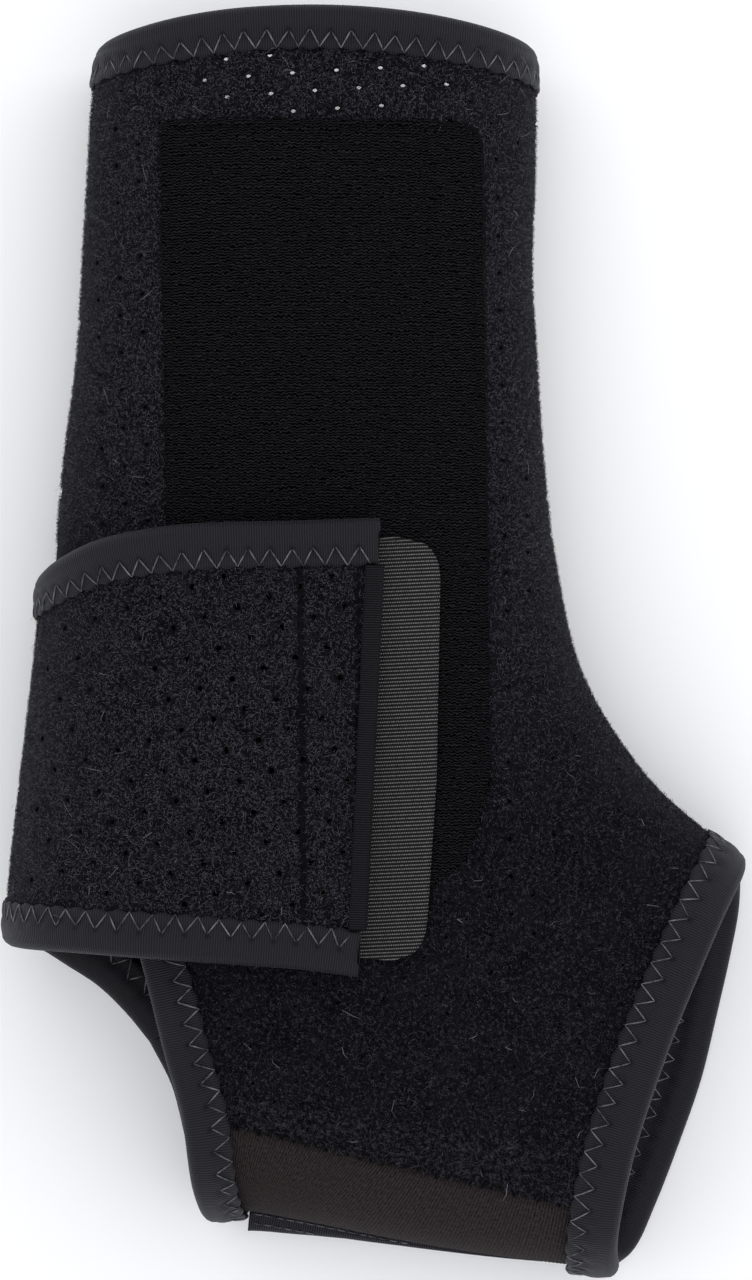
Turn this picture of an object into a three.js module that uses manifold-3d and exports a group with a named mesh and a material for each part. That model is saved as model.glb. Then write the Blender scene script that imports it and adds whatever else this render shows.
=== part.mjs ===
// Ankle brace of perforated foam fabric, empty and lying on its side, in millimetres.
// X runs from the heel to the toes, Y from the sole to the leg opening, Z up from the surface it lies on.
// The near side faces up and bulges, the far side lies flat, and the folds between them stand a little
// above the surface. The origin is under the middle of the brace.

import * as THREE from 'three';
import { mergeVertices } from 'three/addons/utils/BufferGeometryUtils.js';
import Module from 'manifold-3d';

const wasm = await Module();
wasm.setup();

// Overall sizes
const length = 260;
const width = 151.4;
const fold_height = 15;
const sole_height = 9;
const shaft_rise = 25.5;

// Thicknesses
const wall = 3;
const elastic = 1.6;
const tape = 0.8;
const patch_thickness = 1;
const tab_thickness = 0.9;
const hem_thickness = 2.2;
const gap = 0.3;

// Widths of the edge tapes and of the strip over the strap's free end
const tape_width = 6.8;
const toe_tape_width = 8;
const end_tape_width = 2.6;

// Shape of the bulge: how far in from a fold the near side keeps rising, and the far side keeps falling
const bulge_radius = 40;
const bulge_power = 2.3;
const past_fold_slope = 32;
const under_radius = 13;
const sole_radius = 22;
const sole_under_radius = 8;

// The leg opening is cut on a slant: the near rim stands over its corners and the far rim hangs under them
const near_rim_bow = 5;
const far_rim_bow = -12.6;
const rim_blend = 70;

// The strap's fold stands this far outside the fold of the panel under it
const strap_lead = wall + gap;

// Perforations of the foam in the band over the patch
const hole_diameter = 1.1;
const hole_sides = 6;
const hole_step_across = { length: 5.7, angle: -38 };
const hole_step_down = { length: 5.94, angle: -136.4 };
const hole_start = { x: -21.2, y: 119.5 };
const hole_clearance = 0.6;
const hole_rows = 12;

// Outlines seen from above: x as a share of the width, y as a share of the length
const back_fold_table = [
  { x: -0.365, y: 0.471 },
  { x: -0.374, y: 0.444 },
  { x: -0.382, y: 0.374 },
  { x: -0.389, y: 0.304 },
  { x: -0.397, y: 0.231 },
  { x: -0.414, y: 0.152 },
  { x: -0.427, y: 0.066 },
];
const strap_fold_table = [
  { x: -0.447, y: 0.052 },
  { x: -0.451, y: 0.012 },
  { x: -0.470, y: -0.086 },
  { x: -0.488, y: -0.181 },
  { x: -0.492, y: -0.222 },
];
const front_fold_table = [
  { x: 0.203, y: 0.470 },
  { x: 0.206, y: 0.444 },
  { x: 0.205, y: 0.374 },
  { x: 0.201, y: 0.304 },
  { x: 0.208, y: 0.231 },
  { x: 0.217, y: 0.152 },
  { x: 0.235, y: 0.066 },
  { x: 0.273, y: -0.022 },
  { x: 0.369, y: -0.108 },
  { x: 0.487, y: -0.167 },
];
const heel_near_table = [
  { x: -0.427, y: 0.066 },
  { x: -0.400, y: 0.049 },
  { x: -0.390, y: -0.010 },
  { x: -0.362, y: -0.099 },
  { x: -0.331, y: -0.169 },
  { x: -0.296, y: -0.238 },
  { x: -0.266, y: -0.308 },
  { x: -0.243, y: -0.357 },
  { x: -0.230, y: -0.416 },
  { x: -0.220, y: -0.444 },
];
const toe_near_table = [
  { x: 0.487, y: -0.167 },
  { x: 0.455, y: -0.197 },
  { x: 0.420, y: -0.239 },
  { x: 0.382, y: -0.291 },
  { x: 0.351, y: -0.342 },
  { x: 0.328, y: -0.386 },
  { x: 0.312, y: -0.432 },
  { x: 0.308, y: -0.464 },
  { x: 0.316, y: -0.488 },
];
const toe_far_table = [
  { x: 0.487, y: -0.167 },
  { x: 0.488, y: -0.203 },
  { x: 0.477, y: -0.240 },
  { x: 0.458, y: -0.289 },
  { x: 0.436, y: -0.342 },
  { x: 0.405, y: -0.394 },
  { x: 0.373, y: -0.442 },
  { x: 0.344, y: -0.477 },
  { x: 0.316, y: -0.488 },
];
const heel_far_table = [
  { x: -0.300, y: -0.310 },
  { x: -0.269, y: -0.346 },
  { x: -0.251, y: -0.386 },
  { x: -0.237, y: -0.425 },
  { x: -0.220, y: -0.444 },
];
const far_seam_table = [
  { x: -0.222, y: 0.066 },
  { x: -0.240, y: -0.040 },
  { x: -0.262, y: -0.140 },
  { x: -0.284, y: -0.240 },
  { x: -0.300, y: -0.310 },
];
const sole_fold_table = [
  { x: -0.220, y: -0.444 },
  { x: -0.180, y: -0.442 },
  { x: -0.105, y: -0.449 },
  { x: 0.033, y: -0.465 },
  { x: 0.171, y: -0.478 },
  { x: 0.316, y: -0.488 },
];

// The strap's long edges under the brace, from the seam to the fold, and over it, from the fold to the end
const strap_upper_under_table = [
  { x: -0.2225, y: 0.059 },
  { x: -0.340, y: 0.057 },
  { x: -0.447, y: 0.052 },
];
const strap_lower_under_table = [
  { x: -0.300, y: -0.310 },
  { x: -0.335, y: -0.285 },
  { x: -0.376, y: -0.262 },
  { x: -0.423, y: -0.244 },
  { x: -0.463, y: -0.229 },
  { x: -0.492, y: -0.222 },
];
const strap_upper_over_table = [
  { x: -0.447, y: 0.052 },
  { x: -0.420, y: 0.063 },
  { x: -0.364, y: 0.078 },
  { x: -0.297, y: 0.086 },
  { x: -0.231, y: 0.090 },
  { x: -0.100, y: 0.092 },
  { x: 0.006, y: 0.094 },
];
const strap_lower_over_table = [
  { x: -0.492, y: -0.222 },
  { x: -0.420, y: -0.221 },
  { x: -0.298, y: -0.224 },
  { x: -0.166, y: -0.229 },
  { x: -0.100, y: -0.232 },
  { x: -0.021, y: -0.238 },
];

// How much lower the bulge is towards the foot, as a share of its rise over the shaft
const rise_table = [
  { y: 0.5, rise: 1 },
  { y: 0.05, rise: 1 },
  { y: -0.15, rise: 0.92 },
  { y: -0.3, rise: 0.86 },
  { y: -0.5, rise: 0.8 },
];

// Outlines of the flat pieces laid on the near side, with the radius of each corner in millimetres
const patch_outline = [
  { x: -0.286, y: 0.410, radius: 2 },
  { x: 0.140, y: 0.410, radius: 6 },
  { x: 0.151, y: -0.094, radius: 4 },
  { x: 0.120, y: -0.160, radius: 9 },
  { x: 0.071, y: -0.182, radius: 4 },
  { x: -0.268, y: -0.182, radius: 2 },
];
const tab_outline = [
  { x: -0.104, y: 0.087, radius: 1 },
  { x: 0.086, y: 0.090, radius: 8.5 },
  { x: 0.080, y: -0.097, radius: 40 },
  { x: 0.064, y: -0.240, radius: 8.5 },
  { x: -0.104, y: -0.229, radius: 1 },
];

// The hem strip stands out under the sole fold, widest near the heel: shares of its greatest width
const hem_reach = 4.6;
const hem_table = [
  { along: 0.087, reach: 0.96 },
  { along: 0.215, reach: 0.74 },
  { along: 0.34, reach: 0.5 },
  { along: 0.47, reach: 0.3 },
  { along: 0.6, reach: 0.17 },
];

// Where rows of the two sheets start and end, as shares of the outline they run along
const fold_share_at_slit = 0.56;
const heel_tape_share = 0.2;
const heel_share_at_instep = 0.48;
const heel_share_at_elastic = 0.83;
const toe_share_at_elastic = 0.84;
const seam_share_across = 0.31;
const seam_share_at_instep = 0.66;
const heel_far_share_at_elastic = 0.36;
const toe_far_share_at_seam_end = 0.5;
const toe_far_share_at_elastic = 0.83;

// How finely the sheets are cut into facets
const sheet_columns = 16;
const wrap_columns = 6;
const strap_under_columns = 7;
const strap_over_columns = 15;
const strap_rows = 7;
const tape_step = 7;
const path_steps = 48;
const rim_steps = 12;
const outline_steps = 40;
const hem_steps = 8;

// How far to either side a slope and a direction are measured, and how much a tape may be smoothed
const slope_step = 0.05;
const direction_step = 0.4;
const smoothing = 0.025;

const half_wall = wall / 2;
const tape_reach = gap + tape;
const tape_rest = Math.max(tape_width, toe_tape_width) + 1;
const bed_reach = 2 * tape_rest;
const hook_lift = half_wall + gap + patch_thickness + gap;
const strap_lift = hook_lift + tab_thickness + gap + tape + gap + half_wall;

// Turns a table of shares into a smooth curve in the plan
function outline(table) {
  const points = table.map((row) => new THREE.Vector3(row.x * width, row.y * length, 0));
  return new THREE.CatmullRomCurve3(points, false, 'centripetal');
}

const back_fold = outline(back_fold_table);
const strap_fold = outline(strap_fold_table);
const front_fold = outline(front_fold_table);
const heel_near = outline(heel_near_table);
const toe_near = outline(toe_near_table);
const toe_far = outline(toe_far_table);
const heel_far = outline(heel_far_table);
const far_seam = outline(far_seam_table);
const strap_upper_under = outline(strap_upper_under_table);
const strap_lower_under = outline(strap_lower_under_table);
const strap_upper_over = outline(strap_upper_over_table);
const strap_lower_over = outline(strap_lower_over_table);
const sole_fold = outline(sole_fold_table);

// Distance in the plan from a place to a curve: above zero on the side that turn gives, below it on the other
function distance_to(curve, turn) {
  const steps = outline_steps;
  const points = curve.getSpacedPoints(steps);
  return (x, y) => {
    let least = Infinity;
    let side = 1;
    for (let i = 0; i < steps; i += 1) {
      const a = points[i];
      const run_x = points[i + 1].x - a.x;
      const run_y = points[i + 1].y - a.y;
      const along = ((x - a.x) * run_x + (y - a.y) * run_y) / (run_x ** 2 + run_y ** 2);
      const share = Math.min(Math.max(along, 0), 1);
      const apart = Math.hypot(a.x + share * run_x - x, a.y + share * run_y - y);
      if (apart < least - 1e-9) {
        least = apart;
        side = Math.sign(run_x * (y - a.y) - run_y * (x - a.x));
      }
    }
    return turn === 0 ? least : least * side * turn;
  };
}

const from_back = distance_to(back_fold, 1);
const from_strap_fold = distance_to(strap_fold, 1);
const from_front = distance_to(front_fold, -1);
const from_sole = distance_to(sole_fold, 1);

// A rounded step: 0 at a fold, upright there, and level at 1 once the distance reaches the radius.
// Past the fold it runs on steeply, so that the surface is upright on both sides of the fold.
function arch(distance, radius) {
  const share = Math.min(distance / radius, 1);
  if (share < 0) return share * past_fold_slope;
  return (1 - (1 - share) ** bulge_power) ** (1 / bulge_power);
}

// Value of a table column at a place along the length, straight between its rows
function along_table(table, key, column, place) {
  const last = table.length - 1;
  for (let i = 0; i < last; i += 1) {
    const a = table[i];
    const b = table[i + 1];
    const share = (place - a[key]) / (b[key] - a[key]);
    if (share <= 1 || i === last - 1) {
      return THREE.MathUtils.lerp(a[column], b[column], THREE.MathUtils.clamp(share, 0, 1));
    }
  }
  return table[last][column];
}

// Heights of the middle of the wall
function near_height(x, y) {
  const back = Math.min(from_back(x, y), from_strap_fold(x, y) - strap_lead);
  const rise = shaft_rise * along_table(rise_table, 'y', 'rise', y / length);
  const open = rise * arch(back, bulge_radius) * arch(from_front(x, y), bulge_radius);
  return sole_height + (fold_height + open - sole_height) * arch(from_sole(x, y), sole_radius);
}

const lying_edges = [toe_far, heel_far, strap_lower_under, strap_upper_under];
const tape_edges = lying_edges.map((curve) => distance_to(curve, 0));

// The far side lies on the surface, and its bound edges lie on the tape folded under them
function bed_height(x, y) {
  const rim = rim_distance(x, y);
  const edge = Math.min(rim, ...tape_edges.map((from) => from(x, y)));
  return half_wall + tape_reach * (1 - THREE.MathUtils.smoothstep(edge, tape_rest, bed_reach));
}

function far_height(x, y, from_fold) {
  const bed = bed_height(x, y);
  const side = (fold_height - bed) * (1 - arch(from_fold(x, y), under_radius));
  const sole = (sole_height - bed) * (1 - arch(from_sole(x, y), sole_under_radius));
  return bed + Math.max(side, sole);
}

function panel_under_height(x, y) {
  const fold = (px, py) => Math.min(from_back(px, py), from_strap_fold(px, py), from_front(px, py));
  return far_height(x, y, fold);
}

function strap_under_height(x, y) {
  return far_height(x, y, from_strap_fold);
}

function strap_over_height(x, y) {
  const open = (shaft_rise + strap_lift) * arch(from_strap_fold(x, y), bulge_radius);
  return fold_height + open * arch(from_front(x, y), bulge_radius);
}

// Rim of the leg opening in the plan: a straight line between the folds with a bow
function rim_point(share, bow) {
  const a = back_fold.getPoint(0);
  const b = front_fold.getPoint(0);
  const point = a.clone().lerp(b, share);
  point.y += bow * 4 * share * (1 - share);
  return point;
}

function rim_curve(bow) {
  const points = Array.from({ length: rim_steps + 1 }, (_, i) => rim_point(i / rim_steps, bow));
  return new THREE.CatmullRomCurve3(points);
}

const far_rim = rim_curve(far_rim_bow);
const near_rim = rim_curve(near_rim_bow);
const from_near_rim = distance_to(near_rim, 0);
const rim_distance = distance_to(far_rim, 0);

// A corner of a sheet, with the normal that its cells add up
function corner(x, y, z) {
  return { p: new THREE.Vector3(x, y, z), n: new THREE.Vector3() };
}

// Four-cornered cells between rows of corners, with the outer face up, or down where under is true
function cells_between(rows, under) {
  const cells = [];
  for (let i = 0; i + 1 < rows.length; i += 1) {
    for (let j = 0; j + 1 < rows[i].length; j += 1) {
      const cell = [rows[i][j], rows[i + 1][j], rows[i + 1][j + 1], rows[i][j + 1]];
      if (under) cell.reverse();
      const across = cell[2].p.clone().sub(cell[0].p);
      const normal = across.cross(cell[3].p.clone().sub(cell[1].p));
      cell.forEach((item) => item.n.add(normal));
      cells.push(cell);
    }
  }
  return cells;
}

// Shares of a row, closer together at both ends, or evenly spaced
function cosine_shares(count) {
  return Array.from({ length: count + 1 }, (_, j) => 0.5 - 0.5 * Math.cos((Math.PI * j) / count));
}

function even_shares(count) {
  return Array.from({ length: count + 1 }, (_, j) => j / count);
}

// One row of corners from a to b, bowed along the length
function row_between(a, b, shares, bow, height) {
  return shares.map((share) => {
    const x = THREE.MathUtils.lerp(a.x, b.x, share);
    const y = THREE.MathUtils.lerp(a.y, b.y, share) + bow * 4 * share * (1 - share);
    return corner(x, y, height(x, y));
  });
}

// Rows between a stretch of a left and a right outline, one for each step but the first
function rows_between(left, right, height) {
  return left.steps.slice(1).map((step, i) => {
    const a = left.curve.getPointAt(THREE.MathUtils.lerp(...left.ends, step));
    const b = right.curve.getPointAt(THREE.MathUtils.lerp(...right.ends, right.steps[i + 1]));
    return row_between(a, b, cosine_shares(sheet_columns), 0, height);
  });
}

// Rows that run from the last foam row to the sole fold, across the elastic
function elastic_rows(start, height) {
  return elastic_steps.slice(1).map((step) => start.map((item, j) => {
    const sole = sole_fold.getPoint(cosine_shares(sheet_columns)[j]);
    const x = THREE.MathUtils.lerp(item.p.x, sole.x, step);
    const y = THREE.MathUtils.lerp(item.p.y, sole.y, step);
    return corner(x, y, height(x, y));
  }));
}

// Shaft of the brace: each row runs round the leg, over the near side and back under the far side
function shaft_row(step, bow, shares, height) {
  const a = back_fold.getPointAt(step);
  const b = front_fold.getPointAt(step * fold_share_at_slit);
  const fade = Math.max(1 - (step * back_fold.getLength()) / rim_blend, 0) ** 2;
  return row_between(a, b, shares, bow * fade, height);
}

const shaft_steps = [0, tape_width / back_fold.getLength(), 0.14, 0.27, 0.42, 0.58, 0.78, 1];
const elastic_steps = [0, 0.35, 0.62, 0.82, 0.94, 1];
const heel_steps = even_shares(6);
const steep_heel_steps = [0, 0.03, 0.1, 0.22, 0.42, 0.7, 1];
const toe_steps = even_shares(8);
const steep_toe_steps = [0, 0.012, 0.045, 0.12, 0.26, 0.44, 0.62, 0.81, 1];
const seam_steps = even_shares(5);
const steep_seam_steps = [0, 0.04, 0.12, 0.3, 0.6, 1];
const under_heel_steps = even_shares(3);

const near_rows = shaft_steps.map(
  (step) => shaft_row(step, near_rim_bow, cosine_shares(sheet_columns), near_height),
);
near_rows.push(...rows_between(
  { curve: heel_near, ends: [0, heel_share_at_instep], steps: steep_heel_steps },
  { curve: front_fold, ends: [fold_share_at_slit, 1], steps: heel_steps },
  near_height,
));
const instep_row = near_rows.length - 1;
near_rows.push(...rows_between(
  { curve: heel_near, ends: [heel_share_at_instep, heel_share_at_elastic], steps: toe_steps },
  { curve: toe_near, ends: [0, toe_share_at_elastic], steps: steep_toe_steps },
  near_height,
));
const near_seam_row = near_rows.length - 1;
near_rows.push(...elastic_rows(near_rows[near_seam_row], near_height));

// The far side shares its corners on the folds with the near side
const wrap_shares = even_shares(wrap_columns).map((share) => seam_share_across * share ** 2);
const inner_shares = cosine_shares(sheet_columns).map(
  (share) => THREE.MathUtils.lerp(seam_share_across, 1, share),
);
const shaft_under_rows = shaft_steps.map((step, i) => {
  const row = shaft_row(step, far_rim_bow, wrap_shares.concat(inner_shares.slice(1)), panel_under_height);
  row[0] = near_rows[i][0];
  row[row.length - 1] = near_rows[i][sheet_columns];
  return row;
});
const wrap_rows = shaft_under_rows.map((row) => row.slice(0, wrap_columns + 1));
const far_rows = shaft_under_rows.map((row) => row.slice(wrap_columns));
far_rows.push(...rows_between(
  { curve: far_seam, ends: [0, seam_share_at_instep], steps: heel_steps },
  { curve: front_fold, ends: [fold_share_at_slit, 1], steps: heel_steps },
  panel_under_height,
));
far_rows.forEach((row, i) => {
  row[sheet_columns] = near_rows[i][sheet_columns];
});
far_rows.push(...rows_between(
  { curve: far_seam, ends: [seam_share_at_instep, 1], steps: seam_steps },
  { curve: toe_far, ends: [0, toe_far_share_at_seam_end], steps: steep_seam_steps },
  panel_under_height,
));
far_rows.push(...rows_between(
  { curve: heel_far, ends: [0, heel_far_share_at_elastic], steps: under_heel_steps },
  { curve: toe_far, ends: [toe_far_share_at_seam_end, toe_far_share_at_elastic], steps: under_heel_steps },
  panel_under_height,
));
const far_seam_row = far_rows.length - 1;
far_rows.push(...elastic_rows(far_rows[far_seam_row], panel_under_height));
far_rows[far_rows.length - 1] = near_rows[near_rows.length - 1];

const near_cells = cells_between(near_rows.slice(0, near_seam_row + 1), false);
const wrap_cells = cells_between(wrap_rows, true);
const far_cells = cells_between(far_rows.slice(0, far_seam_row + 1), true);
const elastic_cells = [
  ...cells_between(near_rows.slice(near_seam_row), false),
  ...cells_between(far_rows.slice(far_seam_row), true),
];

// The strap is a patch between four curves: its two long edges and two short ones
function strap_patch(upper, lower, first, last, columns, height) {
  const corners = [first.getPoint(0), first.getPoint(1), last.getPoint(0), last.getPoint(1)];
  const tape_share = tape_width / first.getLength();
  const rows = [0, tape_share, ...even_shares(strap_rows - 2).slice(1, -1), 1 - tape_share, 1];
  return columns.map((u) => rows.map((v) => {
    const place = (axis) => {
      const long_way = THREE.MathUtils.lerp(upper.getPoint(u)[axis], lower.getPoint(u)[axis], v);
      const short_way = THREE.MathUtils.lerp(first.getPoint(v)[axis], last.getPoint(v)[axis], u);
      const ends = THREE.MathUtils.lerp(
        THREE.MathUtils.lerp(corners[0][axis], corners[1][axis], v),
        THREE.MathUtils.lerp(corners[2][axis], corners[3][axis], v),
        u,
      );
      return long_way + short_way - ends;
    };
    const x = place('x');
    const y = place('y');
    return corner(x, y, height(x, y));
  }));
}

const strap_end = new THREE.LineCurve3(strap_upper_over.getPoint(1), strap_lower_over.getPoint(1));
const strap_seam = new THREE.CatmullRomCurve3(
  [strap_upper_under.getPoint(0), ...far_seam.getPoints(8).slice(1)], false, 'centripetal',
);
const under_columns = strap_patch(
  strap_upper_under, strap_lower_under, strap_seam, strap_fold,
  even_shares(strap_under_columns).map((share) => Math.sin((share * Math.PI) / 2)), strap_under_height,
);
const over_columns = strap_patch(
  strap_upper_over, strap_lower_over, strap_fold, strap_end,
  even_shares(strap_over_columns).map((share) => share ** 1.7), strap_over_height,
);
under_columns[strap_under_columns] = over_columns[0];
const strap_cells = cells_between([...under_columns.slice(0, -1), ...over_columns], true);

const all_cells = [near_cells, wrap_cells, far_cells, elastic_cells, strap_cells].flat();
new Set(all_cells.flat()).forEach((item) => item.n.normalize());

// Turns points and faces into a solid that can be joined and cut, turned right side out
function solid(places, faces) {
  const volume = faces.reduce((sum, [a, b, c]) => sum + places[a].dot(places[b].clone().cross(places[c])), 0);
  const vertProperties = new Float32Array(places.flatMap((p) => [p.x, p.y, p.z]));
  const wound = volume < 0 ? faces.map(([a, b, c]) => [a, c, b]) : faces;
  const triVerts = new Uint32Array(wound.flat());
  return new wasm.Manifold(new wasm.Mesh({ numProp: 3, vertProperties, triVerts }));
}

// A closed wall from a list of cells, from one offset under the sheet to another over it.
// Its border is drawn in along the sheet, or pushed out where draw is below zero.
function slab(cells, under, over, draw) {
  const edges = new Map();
  const ids = new Map();
  const items = [];
  const id_of = (item) => {
    if (!ids.has(item)) {
      ids.set(item, items.length);
      items.push({ item, pull: new THREE.Vector3() });
    }
    return ids.get(item);
  };
  cells.forEach((cell) => {
    cell.forEach((item, i) => {
      const a = id_of(item);
      const b = id_of(cell[(i + 1) % cell.length]);
      if (edges.has(`${b} ${a}`)) edges.delete(`${b} ${a}`);
      else edges.set(`${a} ${b}`, [a, b]);
    });
  });
  edges.forEach(([a, b]) => {
    const run = items[b].item.p.clone().sub(items[a].item.p).normalize();
    items[a].pull.add(items[a].item.n.clone().cross(run));
    items[b].pull.add(items[b].item.n.clone().cross(run));
  });
  const offset = ({ item, pull }, by) => {
    const point = item.p.clone().addScaledVector(item.n, by);
    return point.addScaledVector(pull.clone().normalize(), draw);
  };
  const places = [over, under].flatMap((by) => items.map((entry) => offset(entry, by)));
  const count = items.length;
  const faces = [];
  cells.forEach((cell) => {
    const [a, b, c, d] = cell.map(id_of);
    faces.push([a, b, c], [a, c, d]);
    faces.push([count + a, count + c, count + b], [count + a, count + d, count + c]);
  });
  edges.forEach(([a, b]) => faces.push([b, a, count + a], [b, count + a, count + b]));
  return solid(places, faces);
}

// The solid of a closed three.js geometry
function geometry_solid(geometry) {
  geometry.deleteAttribute('normal');
  geometry.deleteAttribute('uv');
  const merged = mergeVertices(geometry, 1e-4);
  const vertProperties = new Float32Array(merged.attributes.position.array);
  const triVerts = new Uint32Array(merged.index.array);
  return new wasm.Manifold(new wasm.Mesh({ numProp: 3, vertProperties, triVerts }));
}

// An upright block of an outline with rounded corners, to trim a layer with
function block(table) {
  const points = table.map((row) => new THREE.Vector2(row.x * width, row.y * length));
  const shape = new THREE.Shape();
  points.forEach((point, i) => {
    const before = points[(i + points.length - 1) % points.length];
    const after = points[(i + 1) % points.length];
    const back = before.clone().sub(point).normalize();
    const ahead = after.clone().sub(point).normalize();
    const half_turn = Math.acos(THREE.MathUtils.clamp(back.dot(ahead), -1, 1)) / 2;
    const room = 0.45 * Math.min(before.distanceTo(point), after.distanceTo(point));
    const reach = Math.min(table[i].radius / Math.tan(half_turn), room);
    const start = point.clone().addScaledVector(back, reach);
    const stop = point.clone().addScaledVector(ahead, reach);
    if (i === 0) shape.moveTo(start.x, start.y);
    else shape.lineTo(start.x, start.y);
    shape.quadraticCurveTo(point.x, point.y, stop.x, stop.y);
  });
  shape.closePath();
  const depth = 3 * (fold_height + shaft_rise + strap_lift);
  return geometry_solid(new THREE.ExtrudeGeometry(shape, { depth, bevelEnabled: false, curveSegments: 5 }));
}

// Upright normal of a height, and the outward normal on the side that faces down
function surface_normal(p, { height, under }) {
  const step = slope_step;
  const slope_x = (height(p.x + step, p.y) - height(p.x - step, p.y)) / (2 * step);
  const slope_y = (height(p.x, p.y + step) - height(p.x, p.y - step)) / (2 * step);
  const normal = new THREE.Vector3(-slope_x, -slope_y, 1).normalize();
  return under ? normal.negate() : normal;
}

// Moves a point along the surface in short steps, back onto the surface after each
function walk(start, direction, distance, side) {
  const p = start.clone();
  const heading = direction.clone();
  const steps = Math.max(Math.ceil(distance), 1);
  for (let i = 0; i < steps && distance > 0; i += 1) {
    p.addScaledVector(heading, distance / steps);
    for (let k = 0; k < 3; k += 1) {
      const normal = surface_normal(p, side);
      p.addScaledVector(normal, -(p.z - side.height(p.x, p.y)) * normal.z);
    }
    const normal = surface_normal(p, side);
    heading.addScaledVector(normal, -heading.dot(normal)).normalize();
  }
  return { p, n: surface_normal(p, side) };
}

// A bound edge as a list of places on the surface, from stretches of outlines on the near or the far side
function edge_path(stretches) {
  return stretches.flatMap(({ curve, from = 0, to = 1, side }, index) => {
    const places = even_shares(path_steps).map((t) => {
      const eased = 0.5 - 0.5 * Math.cos(Math.PI * t);
      const point = curve.getPoint(THREE.MathUtils.lerp(from, to, eased));
      point.z = side.height(point.x, point.y);
      return { p: point, side };
    });
    return index === 0 ? places : places.slice(1);
  });
}

// Places at even steps along a path, with the direction of the path at each
function stations_along(path, closed) {
  const run = [0];
  for (let i = 1; i < path.length; i += 1) run.push(run[i - 1] + path[i].p.distanceTo(path[i - 1].p));
  const total = run[run.length - 1];
  const count = Math.round(total / tape_step);
  const trim = closed ? 0 : gap / 2;
  const at = (distance) => {
    const place = closed ? (distance + total) % total : THREE.MathUtils.clamp(distance, 0, total);
    let i = run.findIndex((value) => value >= place);
    i = Math.max(i, 1);
    const share = (place - run[i - 1]) / (run[i] - run[i - 1]);
    return { p: path[i - 1].p.clone().lerp(path[i].p, share), side: path[i].side };
  };
  return even_shares(count).slice(0, closed ? -1 : undefined).map((share) => {
    const distance = THREE.MathUtils.lerp(trim, total - trim, share);
    const { p, side } = at(distance);
    const tangent = at(distance + direction_step).p.sub(at(distance - direction_step).p).normalize();
    return { p, side, tangent };
  });
}

// The room that a folded tape takes up round a bound edge: a thick strip along the path, past the edge
// by the tape and its gap, and as deep as the tape is wide. The panel in it is cut out afterwards.
function tape_room(path, depth, inward, closed, shares, extra = 0) {
  const reach = tape_reach + extra;
  const half = half_wall + reach;
  const sections = stations_along(path, closed).map(({ p, side, tangent }) => {
    const normal = surface_normal(p, side);
    const into = normal.clone().cross(tangent).normalize().multiplyScalar(inward);
    const feet = shares.map((share) => walk(p, into, depth * share, side));
    const edge = p.clone().addScaledVector(into, -reach);
    const over = feet.map((foot) => foot.p.clone().addScaledVector(foot.n, half));
    const under = feet.map((foot) => foot.p.clone().addScaledVector(foot.n, -half));
    over.push(edge.clone().addScaledVector(normal, half));
    under.push(edge.clone().addScaledVector(normal, -half));
    return [...over, ...under.reverse()];
  });
  const ring = sections[0].length;
  const faces = [];
  const next = (i) => (i + 1) % sections.length;
  for (let i = 0; i < sections.length - (closed ? 0 : 1); i += 1) {
    for (let j = 0; j < ring; j += 1) {
      const k = (j + 1) % ring;
      const corners = [i * ring + j, i * ring + k, next(i) * ring + k, next(i) * ring + j];
      faces.push([corners[0], corners[1], corners[2]], [corners[0], corners[2], corners[3]]);
    }
  }
  if (!closed) {
    const last = (sections.length - 1) * ring;
    for (let j = 0; j + 1 < ring / 2; j += 1) {
      const k = ring - 1 - j;
      faces.push([j, k, k - 1], [j, k - 1, j + 1]);
      faces.push([last + j, last + k - 1, last + k], [last + j, last + j + 1, last + k - 1]);
    }
  }
  return solid(sections.flat(), faces);
}

// The largest body of a cut, without the crumbs that a cut may leave
function main_body(shape) {
  return shape.decompose().reduce((best, one) => (one.volume() > best.volume() ? one : best));
}

const near_side = { height: near_height, under: false };
const panel_under_side = { height: panel_under_height, under: true };
const strap_over_side = { height: strap_over_height, under: false };
const strap_under_side = { height: strap_under_height, under: true };

// What the tapes are folded over, thicker by the gap
const panel_core = slab([near_cells, wrap_cells, far_cells].flat(), -half_wall - gap, half_wall + gap, -gap);
const elastic_core = slab(elastic_cells, -elastic / 2 - gap, elastic / 2 + gap, -gap);
const strap_core = slab(strap_cells, -half_wall - gap, half_wall + gap, -gap);

const top_path = edge_path([
  { curve: near_rim, side: near_side },
  { curve: far_rim, from: 1, to: 0, side: panel_under_side },
]);
const toe_path = edge_path([
  { curve: toe_near, side: near_side },
  { curve: toe_far, from: 1, to: 0, side: panel_under_side },
]);
const heel_path = edge_path([
  { curve: heel_near, from: heel_tape_share, side: near_side },
  { curve: heel_far, from: 1, to: 0, side: panel_under_side },
]);
const strap_foot_path = edge_path([
  { curve: strap_lower_under, side: strap_under_side },
  { curve: strap_lower_over, side: strap_over_side },
]);
const strap_top_path = edge_path([
  { curve: strap_upper_under, side: strap_under_side },
  { curve: strap_upper_over, side: strap_over_side },
]);

function folded_tape(path, depth, inward, closed, shares) {
  const room = tape_room(path, depth, inward, closed, shares);
  return main_body(room.subtract(panel_core).subtract(elastic_core).subtract(strap_core)).simplify(smoothing);
}

const straight = [1, 0];
const curved = [1, 0.4, 0];
const top_binding = folded_tape(top_path, tape_width, -1, true, straight);
const toe_binding = folded_tape(toe_path, toe_tape_width, -1, true, curved);
const heel_binding = folded_tape(heel_path, tape_width, 1, false, curved);
const strap_foot_binding = folded_tape(strap_foot_path, tape_width, 1, false, straight);
const strap_top_binding = folded_tape(strap_top_path, tape_width, -1, false, straight);

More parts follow.
